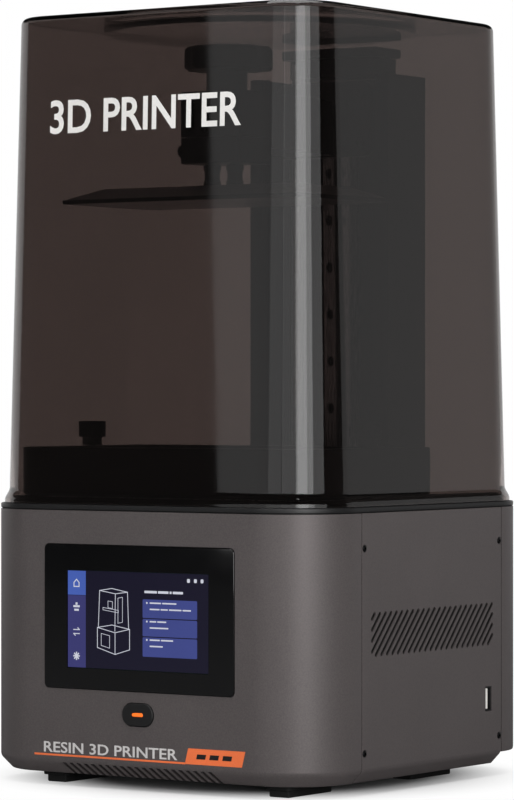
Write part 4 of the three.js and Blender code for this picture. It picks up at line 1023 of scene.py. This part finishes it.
@dataclass
class Vat:
    """The resin vat and the two thumbscrews that hold it."""

    corner: float = 8.0
    wall_edge: float = 0.8
    knurls: int = 44
    knurl_depth: float = 0.3
    screw_bore: float = 2.8
    basin_size: Pair = (156.0, 88.0)
    basin_corner: float = 10.0
    box: Box = field(default_factory=lambda: Box.of("resin_vat"))

    def build(self) -> None:
        """Makes the vat and its thumbscrews."""
        box, middle = self.box, self.box.centre
        at = (middle.x, middle.y)
        steps = [(-2, 2.2), (0, box.size.z - 2.2 - self.wall_edge), *rounding(self.wall_edge, 4)]
        body = Shape.stack((box.size.x - 4, box.size.y - 4), self.corner - 2, box.low.z, steps, at, 12)
        basin = Shape.stack(self.basin_size, self.basin_corner, box.low.z - 1, [(0, box.size.z + 2)], at, 12)
        lead_in = Shape.stack(self.basin_size, self.basin_corner, box.high.z - 1.6,
                              [(0, 0.2), (-1.6, 1.5), (0, 1)], at, 12)
        holes = []
        for side in SIDES:
            screw = Box.of(f"vat_thumbscrew_{side}").centre
            holes.append(Shape.rod(self.screw_bore, box.low.z - 1, box.high.z + 1, (screw.x, screw.y)))
        body.cut(basin).cut(lead_in).cut(*holes)
        body.piece("resin_vat_body", "resin_vat")
        for side in SIDES:
            self.thumbscrew(f"vat_thumbscrew_{side}")

    def thumbscrew(self, node: str) -> None:
        """Makes one knurled thumbscrew in place of its node."""
        box = Box.of(node)
        low, top, seat = box.low.z, box.high.z, self.box.high.z + 0.3
        radius, under = box.size.x / 2, seat + 4.2
        screw = Shape.turned([(0, low), (2.5, low), (2.5, seat), (5.15, seat), (5.15, under), (radius, under),
                              (radius, top), (3.4, top), (3.0, top - 0.6), (0, top - 0.6)],
                             segments=2 * self.knurls)
        screw.ease(0.4, 2, 50, lambda p: p.z > seat + 0.1)
        sides = [f for f in screw.mesh.faces if abs(f.normal.z) < 0.1
                 and f.calc_center_median().z > under + 1 and f.calc_area() > 1.5]
        sides.sort(key=lambda f: math.atan2(f.calc_center_median().y, f.calc_center_median().x))
        bmesh.ops.inset_individual(screw.mesh, faces=sides[::2], thickness=0.06, depth=-self.knurl_depth,
                                   use_even_offset=True)
        screw.move(box.centre.x, box.centre.y).piece(f"{node}_knurled", node)


# ------------------------------------------------------------------ tower and lift
@dataclass
class Tower:
    """The fixed tower: foot, channel, rail, screw bearing and cap."""

    bolt_pitch: float = 25.0
    lead: float = 8.0
    thread_depth: float = 0.55
    thread_starts: int = 4
    steps_per_turn: int = 24
    plain_ends: Pair = (12.0, 9.0)
    rail: Box = field(default_factory=lambda: Box.of("linear_rail"))
    screw: Box = field(default_factory=lambda: Box.of("lead_screw"))

    def build(self) -> None:
        """Makes the tower's pieces."""
        for node, width in (("tower_foot", 0.8), ("tower_column", 0.5), ("bearing_block", 0.6),
                            ("tower_cap", 0.8)):
            eased_copy(node, width)
        rail = Shape.copy_of("linear_rail").ease(0.2, 2, 40)
        bolts, bores = [], []
        out = -self.rail.low.y
        count = int(self.rail.size.z / self.bolt_pitch)
        for i in range(count):
            level = self.rail.centre.z + (i - (count - 1) / 2) * self.bolt_pitch
            bores.append(Shape.rod(3.1, out - 4.5, out + 2, (0, level)).on(Side.FRONT))
            bolt = Shape.turned([(0, out - 4.4), (2.75, out - 4.4), (2.75, out - 1.6), (2.5, out - 1.4),
                                 (0, out - 1.4)], segments=24)
            bolts.append(bolt.cut(hex_socket(2.5, 1.6, out - 1.4)).move(0, level).on(Side.FRONT))
        rail.cut(*bores).piece("linear_rail_drilled", "linear_rail")
        Shape().with_(*bolts).piece("rail_bolts", body="printer_body", slot="screw_black")
        self.thread()

    def thread(self) -> None:
        """Makes the lead screw: four thread starts twisted along a rod, with plain ends."""
        low, high = self.screw.low.z + self.plain_ends[0], self.screw.high.z - self.plain_ends[1]
        radius = self.screw.size.x / 2
        mesh = bmesh.new()
        ring = bmesh.ops.create_circle(mesh, cap_ends=False, segments=8 * self.thread_starts,
                                       radius=radius)
        for index, vert in enumerate(ring["verts"]):
            if index % 8 >= 4:
                vert.co *= (radius - self.thread_depth) / radius
        turns = (high - low) / self.lead
        steps = round(turns * self.steps_per_turn)
        bmesh.ops.spin(mesh, geom=mesh.verts[:] + mesh.edges[:], cent=(0, 0, 0), axis=(0, 0, 1),
                       dvec=(0, 0, (high - low) / steps), angle=turns * 2 * math.pi, steps=steps)
        thread = Shape(mesh).move(z=low)
        thread.close()
        for z0, z1 in ((self.screw.low.z, low - 0.01), (high + 0.01, self.screw.high.z)):
            core = radius - 0.1
            thread.with_(Shape.turned([(0, z0), (core - 0.4, z0), (core, z0 + 0.4), (core, z1 - 0.4),
                                       (core - 0.4, z1), (0, z1)], segments=32))
        middle = self.screw.centre
        thread.move(middle.x, middle.y).piece("lead_screw_threaded", "lead_screw", smooth=50)


@dataclass
class Lift:
    """The moving carriage, arm, platform and clamp knob."""

    slope: float = 15.0
    flange: float = 2.1
    rim: float = 0.6
    rim_gap: float = 0.04
    grip_height: float = 12.0
    lobe_depth: float = 1.1
    lobes: int = 12
    platform: Box = field(default_factory=lambda: Box.of("build_platform"))
    block: Box = field(default_factory=lambda: Box.of("platform_block"))
    knob: Box = field(default_factory=lambda: Box.of("clamp_knob"))
    arm: Box = field(default_factory=lambda: Box.of("platform_arm"))

    def build(self) -> None:
        """Makes the lift's pieces."""
        for node, width in (("rail_carriage", 0.5), ("lead_nut", 0.4), ("platform_arm", 0.9)):
            eased_copy(node, width)
        self.carriage_plate()
        self.platform_plate()
        self.posts()
        self.clamp_block()
        self.clamp_knob()

    def carriage_plate(self) -> None:
        """Makes the plate on the carriage, with its four bolts."""
        box = Box.of("carriage_plate")
        out = -box.low.y
        plate = Shape.plate((box.size.x, box.size.z), 5, -box.high.y, out, 0.5, (0, box.centre.z), 10)
        plate.on(Side.FRONT).piece("carriage_plate_eased", "carriage_plate")
        bolts = []
        for x in (-24, 24):
            for z in (box.low.z + 7, box.high.z - 7):
                bolt = Shape.turned([(0, out + 0.02), (2.7, out + 0.02), (2.7, out + 1.2), (2.3, out + 1.5),
                                     (0, out + 1.5)], segments=28)
                bolts.append(bolt.cut(hex_socket(2.5, 1.2, out + 1.5)).move(x, z).on(Side.FRONT))
        Shape().with_(*bolts).piece("carriage_plate_bolts", body="lift", slot="screw_black")

    def platform_plate(self) -> None:
        """Makes the build platform: a flat flange under a low sloping crown, its outer rim dressed black as a
        painted dark reflection.
        """
        box = self.platform
        crown = box.size.z - self.flange
        at = (box.centre.x, box.centre.y)
        inner = (box.size.x - 2 * self.rim, box.size.y - 2 * self.rim)
        plate = Shape.stack(inner, 0, box.low.z, [(0, self.flange), (self.slope - self.rim, crown)], at)
        plate.ease(1.5, 4, 20, lambda p: box.low.z + 0.1 < p.z < box.high.z - 0.1)
        plate.ease(0.3, 2, 15, lambda p: p.z > box.high.z - 0.01)
        plate.piece("build_platform_blasted", "build_platform", smooth=12)
        # The flange's thin outer rim in black anodise is painted dark reflection along the plate's edge.
        rim = Shape.plate((box.size.x, box.size.y), 2, box.low.z, box.low.z + self.flange, 0.25, at, 6)
        hole_size = (inner[0] + self.rim_gap, inner[1] + self.rim_gap)
        hole = Shape.stack(hole_size, 2 - self.rim, box.low.z - 1, [(0, 9)], at, 6)
        rim.cut(hole).piece("build_platform_painted_dark_rim", "build_platform", finish=BLACK_ANODISE)

    def posts(self) -> None:
        """Makes the two posts that carry the platform."""
        for side in SIDES:
            node = f"platform_post_{side}"
            box = Box.of(node)
            radius, low, top = box.size.x / 2, box.low.z, box.high.z
            post = Shape.turned([(0, low), (radius - 0.5, low), (radius, low + 0.5), (radius, low + 3),
                                 (radius - 0.6, low + 3.6), (radius - 0.6, top - 3.6), (radius, top - 3),
                                 (radius, top - 0.5), (radius - 0.5, top), (0, top)], segments=40)
            post.move(box.centre.x, box.centre.y).piece(f"{node}_turned", node, smooth=50)

    def clamp_block(self) -> None:
        """Makes the levelling block under the arm and its screw."""
        box = self.block

        def outer(p: Vector) -> bool:
            """Tells whether a point lies on the block's outer sides."""
            return abs(p.x) > box.high.x - 0.1 or abs(p.y - box.centre.y) > box.size.y / 2 - 0.1

        block = Shape.copy_of("platform_block").ease(0.7, 2, 60, outer)
        block.piece("platform_block_eased", "platform_block")
        screw = Box.of("block_screw")
        out, radius = -screw.low.x, screw.size.y / 2
        shape = Shape.turned([(0, out - 10), (1.6, out - 10), (1.6, out - 3.1), (radius, out - 3.1),
                              (radius, out - 0.4), (radius - 0.4, out), (0, out)], segments=32)
        shape.cut(hex_socket(3, 2, out)).move(-screw.centre.y, screw.centre.z)
        shape.on(Side.LEFT).piece("block_screw_head", "block_screw", smooth=40)

    def clamp_knob(self) -> None:
        """Makes the lobed knob that clamps the platform."""
        box = self.knob
        radius, low, top = box.size.x / 2, box.high.z - self.grip_height, box.high.z
        knob = Shape.turned([(0, box.low.z), (10, box.low.z), (10.5, box.low.z + 0.5), (10.5, low - 1.2),
                             (11.6, low), (radius - 1.2, low), (radius, low + 1.2), (radius, top - 2.2),
                             (radius - 0.6, top - 0.9), (radius - 2, top), (radius - 7, top),
                             (radius - 8.4, top - 1.1), (0, top - 1.1)], segments=12 * self.lobes)
        for vert in knob.mesh.verts:
            reach = math.hypot(vert.co.x, vert.co.y)
            if reach > radius - 3:
                wave = 0.5 + 0.5 * math.cos(self.lobes * math.atan2(vert.co.y, vert.co.x))
                shrink = 1 - self.lobe_depth * wave / reach
                vert.co.x *= shrink
                vert.co.y *= shrink
        knob.move(box.centre.x, box.centre.y).piece("clamp_knob_lobed", "clamp_knob", smooth=35)


# ------------------------------------------------------------------ cover
@dataclass
class Cover:
    """The tall smoked cover with its flared foot, dished top and printed mark."""

    body_half: float = 105.5
    body_corner: float = 36.5
    foot_inset: float = 1.9
    inset: float = 4.4
    taper: float = 6.0
    skirt: float = 7.5
    wall: float = 2.5
    fillet: float = 3.5
    recess: Pair = (77.5, 4.5)
    inner_recess: Pair = (37.0, 0.8)
    flare_steps: int = 8
    mark_size: Pair = (118.0, 17.2)
    mark_at: Pair = (-3.0, 337.1)
    box: Box = field(default_factory=lambda: Box.of("smoked_cover"))

    def solid(self, wall: float, extra: float) -> Shape:
        """The cover's outside, or its inside a wall further in and starting lower."""
        low, top = self.box.low.z, self.box.high.z - wall
        start = self.foot_inset + wall
        curve = max(self.fillet - wall, 1.0)
        flare = self.inset - self.foot_inset
        run = self.skirt - 1
        steps: list[Pair] = [(0, extra + 1)]
        count = self.flare_steps
        for i in range(count):
            a, b = i / count, (i + 1) / count
            share = (1 - math.cos(math.pi * b)) / 2 - (1 - math.cos(math.pi * a)) / 2
            steps.append((flare * share, run / count))
        steps.append((self.taper, top - curve - low - self.skirt))
        steps += rounding(curve, 6)
        width = 2 * (self.body_half - start)
        return Shape.stack((width, width), self.body_corner - start, low - extra, steps)

    def build(self) -> None:
        """Makes the cover and the mark on its front."""
        top = self.box.high.z
        floor = top - self.recess[1]
        radius = self.recess[0]
        shell = self.solid(0, 0).cut(self.solid(self.wall, 1))
        dish = Shape.turned([(0, floor - self.wall), (radius + self.wall - 1, floor - self.wall),
                             (radius + self.wall, floor - self.wall + 1), (radius + self.wall, top - 1.2),
                             (0, top - 1.2)], segments=128)
        hollow = Shape.turned([(0, floor), (radius - 1, floor), (radius - 0.3, floor + 0.3),
                               (radius, floor + 1), (radius, top - 0.6), (radius + 0.6, top),
                               (radius + 0.6, top + 1), (0, top + 1)], segments=128)
        depth = self.inner_recess[1]
        inner = Shape.turned([(0, floor - depth), (self.inner_recess[0] - 0.4, floor - depth),
                              (self.inner_recess[0], floor - depth + 0.4), (self.inner_recess[0], floor + 1),
                              (0, floor + 1)], segments=96)
        shell.join(dish).cut(hollow).cut(inner)
        shell.piece("smoked_cover_shell", "smoked_cover")
        self.mark()

    def mark(self) -> None:
        """Makes the white lettering high on the cover's front."""
        low, top = self.box.low.z + self.skirt, self.box.high.z - self.fillet
        across, level = self.mark_at
        inset = self.inset + self.taper * (level - low) / (top - low)
        lean = math.degrees(math.atan2(self.taper, top - low))
        words = Shape.lettering("3D PRINTER", self.mark_size, 0.1, 0.016).turn("X", -lean)
        words.move(across, level, self.body_half - inset + 0.02)
        words.on(Side.FRONT).piece("cover_lettering", finish=WHITE_INK, body="cover", slot="smoked_acrylic")


# ------------------------------------------------------------------ studio
@dataclass
class Softbox:
    """A soft rectangular lamp that faces the printer."""

    name: str
    azimuth: float
    elevation: float
    distance: float
    size: Pair
    power: float

    def build(self, aim: Vector) -> None:
        """Makes the lamp, facing a point."""
        lamp = bpy.data.lights.new(self.name, "AREA")
        lamp.shape = "RECTANGLE"
        lamp.size, lamp.size_y = self.size
        lamp.energy = self.power
        holder = bpy.data.objects.new(self.name, lamp)
        turn, lift = math.radians(self.azimuth), math.radians(self.elevation)
        out = Vector((math.sin(turn) * math.cos(lift), -math.cos(turn) * math.cos(lift), math.sin(lift)))
        holder.location = aim + out * self.distance
        holder.rotation_mode = "QUATERNION"
        holder.rotation_quaternion = out.to_track_quat("Z", "Y")
        holder.visible_camera = False
        holder.visible_transmission = False
        bpy.context.scene.collection.objects.link(holder)


@dataclass
class Studio:
    """The pale floor, the lights and the camera."""

    white: float = 1.0
    inside_fill: float = 0.35
    fill: float = 0.2
    gloss_fill: float = 0.02
    floor_tone: float = 0.86
    floor_gloss_tone: float = 0.12
    floor_fade: Pair = (0.08, 0.15)
    floor_radius: float = 30.0
    sensor: float = 36.0
    lens: float = 175.71
    camera_at: Triple = (1.15255, -1.66183, 0.19796)
    camera_back: Triple = (0.5704, -0.8214, 0.002)
    aim: Vector = field(default_factory=lambda: Vector((0, 0, 0.2)))
    boxes: tuple[Softbox, ...] = (
        Softbox("key_softbox", 50, 6.6, 1.6, (2.32, 0.73), 7.2),
        Softbox("key_middle_softbox", 51.5, 6.6, 1.55, (0.8, 0.71), 4.6),
        Softbox("key_core_softbox", 48, 6.6, 1.5, (0.42, 0.69), 2.0),
        Softbox("front_softbox", -9, 6.6, 2.0, (1.78, 0.8), 3.0),
        Softbox("front_core_softbox", 1, 6.6, 1.95, (0.8, 0.8), 1.0),
        Softbox("rear_softbox", 148, 6.6, 1.9, (1.46, 0.8), 1.4),
        Softbox("back_softbox", 192, 6.6, 1.9, (1.53, 0.8), 2.6),
        Softbox("left_softbox", -112, 6.6, 1.9, (2.4, 0.8), 4.5),
        Softbox("top_softbox", 0, 88, 1.6, (1.6, 1.6), 30),
    )

    def seen(self, tree: bpy.types.NodeTree) -> bpy.types.NodeSocket:
        """Adds an output that is 1 for what is looked at, and 0 for what only lights."""
        path = add_node(tree, "ShaderNodeLightPath")
        return add_node(tree, "ShaderNodeMath", {"operation": "MAXIMUM"},
                        {0: path.outputs["Is Camera Ray"], 1: path.outputs["Is Transmission Ray"]}).outputs[0]

    def surroundings(self) -> None:
        """Makes white surroundings that only light the printer faintly."""
        world = bpy.data.worlds.new("studio")
        bpy.context.scene.world = world
        world.use_nodes = True
        tree = world.node_tree
        tree.nodes.clear()
        path = add_node(tree, "ShaderNodeLightPath")
        lighting = add_node(tree, "ShaderNodeMapRange", {"To Min": self.gloss_fill, "To Max": self.fill},
                            {"Value": path.outputs["Is Diffuse Ray"]})
        bounces = add_node(tree, "ShaderNodeMath", {"operation": "ADD"},
                           {0: path.outputs["Diffuse Depth"], 1: path.outputs["Glossy Depth"]})
        through = add_node(tree, "ShaderNodeMapRange", {"To Min": self.white, "To Max": self.inside_fill},
                           {"Value": bounces.outputs[0]})
        strength = add_node(tree, "ShaderNodeMapRange", {},
                            {"Value": self.seen(tree), "To Min": lighting.outputs["Result"],
                             "To Max": through.outputs["Result"]})
        glow = add_node(tree, "ShaderNodeBackground", {"Color": (1, 1, 1, 1)},
                        {"Strength": strength.outputs["Result"]})
        add_node(tree, "ShaderNodeOutputWorld", {}, {"Surface": glow.outputs["Background"]})

    def floor(self) -> None:
        """Makes the pale floor, which fades to the surroundings away from the printer."""
        mesh = bmesh.new()
        bmesh.ops.create_circle(mesh, cap_ends=True, segments=64, radius=self.floor_radius)
        data = bpy.data.meshes.new("studio_floor")
        mesh.to_mesh(data)
        mesh.free()
        ground = bpy.data.objects.new("studio_floor", data)
        bpy.context.scene.collection.objects.link(ground)
        paper = bpy.data.materials.new("pale_paper_floor")
        paper.use_nodes = True
        tree = paper.node_tree
        tree.nodes.clear()
        place = add_node(tree, "ShaderNodeTexCoord").outputs["Object"]
        away = add_node(tree, "ShaderNodeVectorMath", {"operation": "LENGTH"}, {0: place})
        fade = add_node(tree, "ShaderNodeMapRange",
                        {"interpolation_type": "SMOOTHSTEP", "From Min": self.floor_fade[0],
                         "From Max": self.floor_fade[1]},
                        {"Value": away.outputs["Value"]})
        both = add_node(tree, "ShaderNodeMath", {"operation": "MULTIPLY"},
                        {0: fade.outputs["Result"], 1: self.seen(tree)})
        path = add_node(tree, "ShaderNodeLightPath")
        tone = add_node(tree, "ShaderNodeMapRange",
                        {"To Min": self.floor_tone, "To Max": self.floor_gloss_tone},
                        {"Value": path.outputs["Is Glossy Ray"]})
        matt = add_node(tree, "ShaderNodeBsdfDiffuse", {}, {"Color": tone.outputs["Result"]})
        glow = add_node(tree, "ShaderNodeEmission", {"Strength": self.white})
        mixed = add_node(tree, "ShaderNodeMixShader", {},
                         {0: both.outputs[0], 1: matt.outputs[0], 2: glow.outputs[0]})
        add_node(tree, "ShaderNodeOutputMaterial", {}, {"Surface": mixed.outputs[0]})
        data.materials.append(paper)

    def camera(self) -> None:
        """Makes the camera."""
        lens = bpy.data.cameras.new("camera")
        lens.sensor_width = self.sensor
        lens.lens = self.lens
        lens.clip_end = 100
        holder = bpy.data.objects.new("camera", lens)
        holder.location = self.camera_at
        holder.rotation_mode = "QUATERNION"
        holder.rotation_quaternion = Vector(self.camera_back).to_track_quat("Z", "Y")
        bpy.context.scene.collection.objects.link(holder)
        bpy.context.scene.camera = holder

    def build(self) -> None:
        """Makes the whole studio."""
        bpy.context.scene.view_settings.view_transform = "Standard"
        self.camera()
        self.surroundings()
        self.floor()
        for lamp in self.boxes:
            lamp.build(self.aim)


def dress_kept_nodes() -> None:
    """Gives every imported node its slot's finish."""
    for name, node in frame["nodes"].items():
        for holder in node.material_slots:
            holder.material = FINISH_OF_SLOT[slot_of(name)].material()


def main() -> None:
    """Builds the printer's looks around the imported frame."""
    logging.basicConfig(level=logging.INFO, format="%(name)s: %(message)s")
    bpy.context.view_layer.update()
    Studio().build()
    dress_kept_nodes()
    skin = BaseSkin()
    skin.build()
    skin.side_vent_shade_sheet()
    skin.screws()
    skin.feet()
    FrontControls().build()
    sockets = Sockets()
    sockets.build()
    sockets.usb()
    Deck().build()
    Vat().build()
    Tower().build()
    Lift().build()
    Cover().build()


if __name__ == "__main__":
    main()
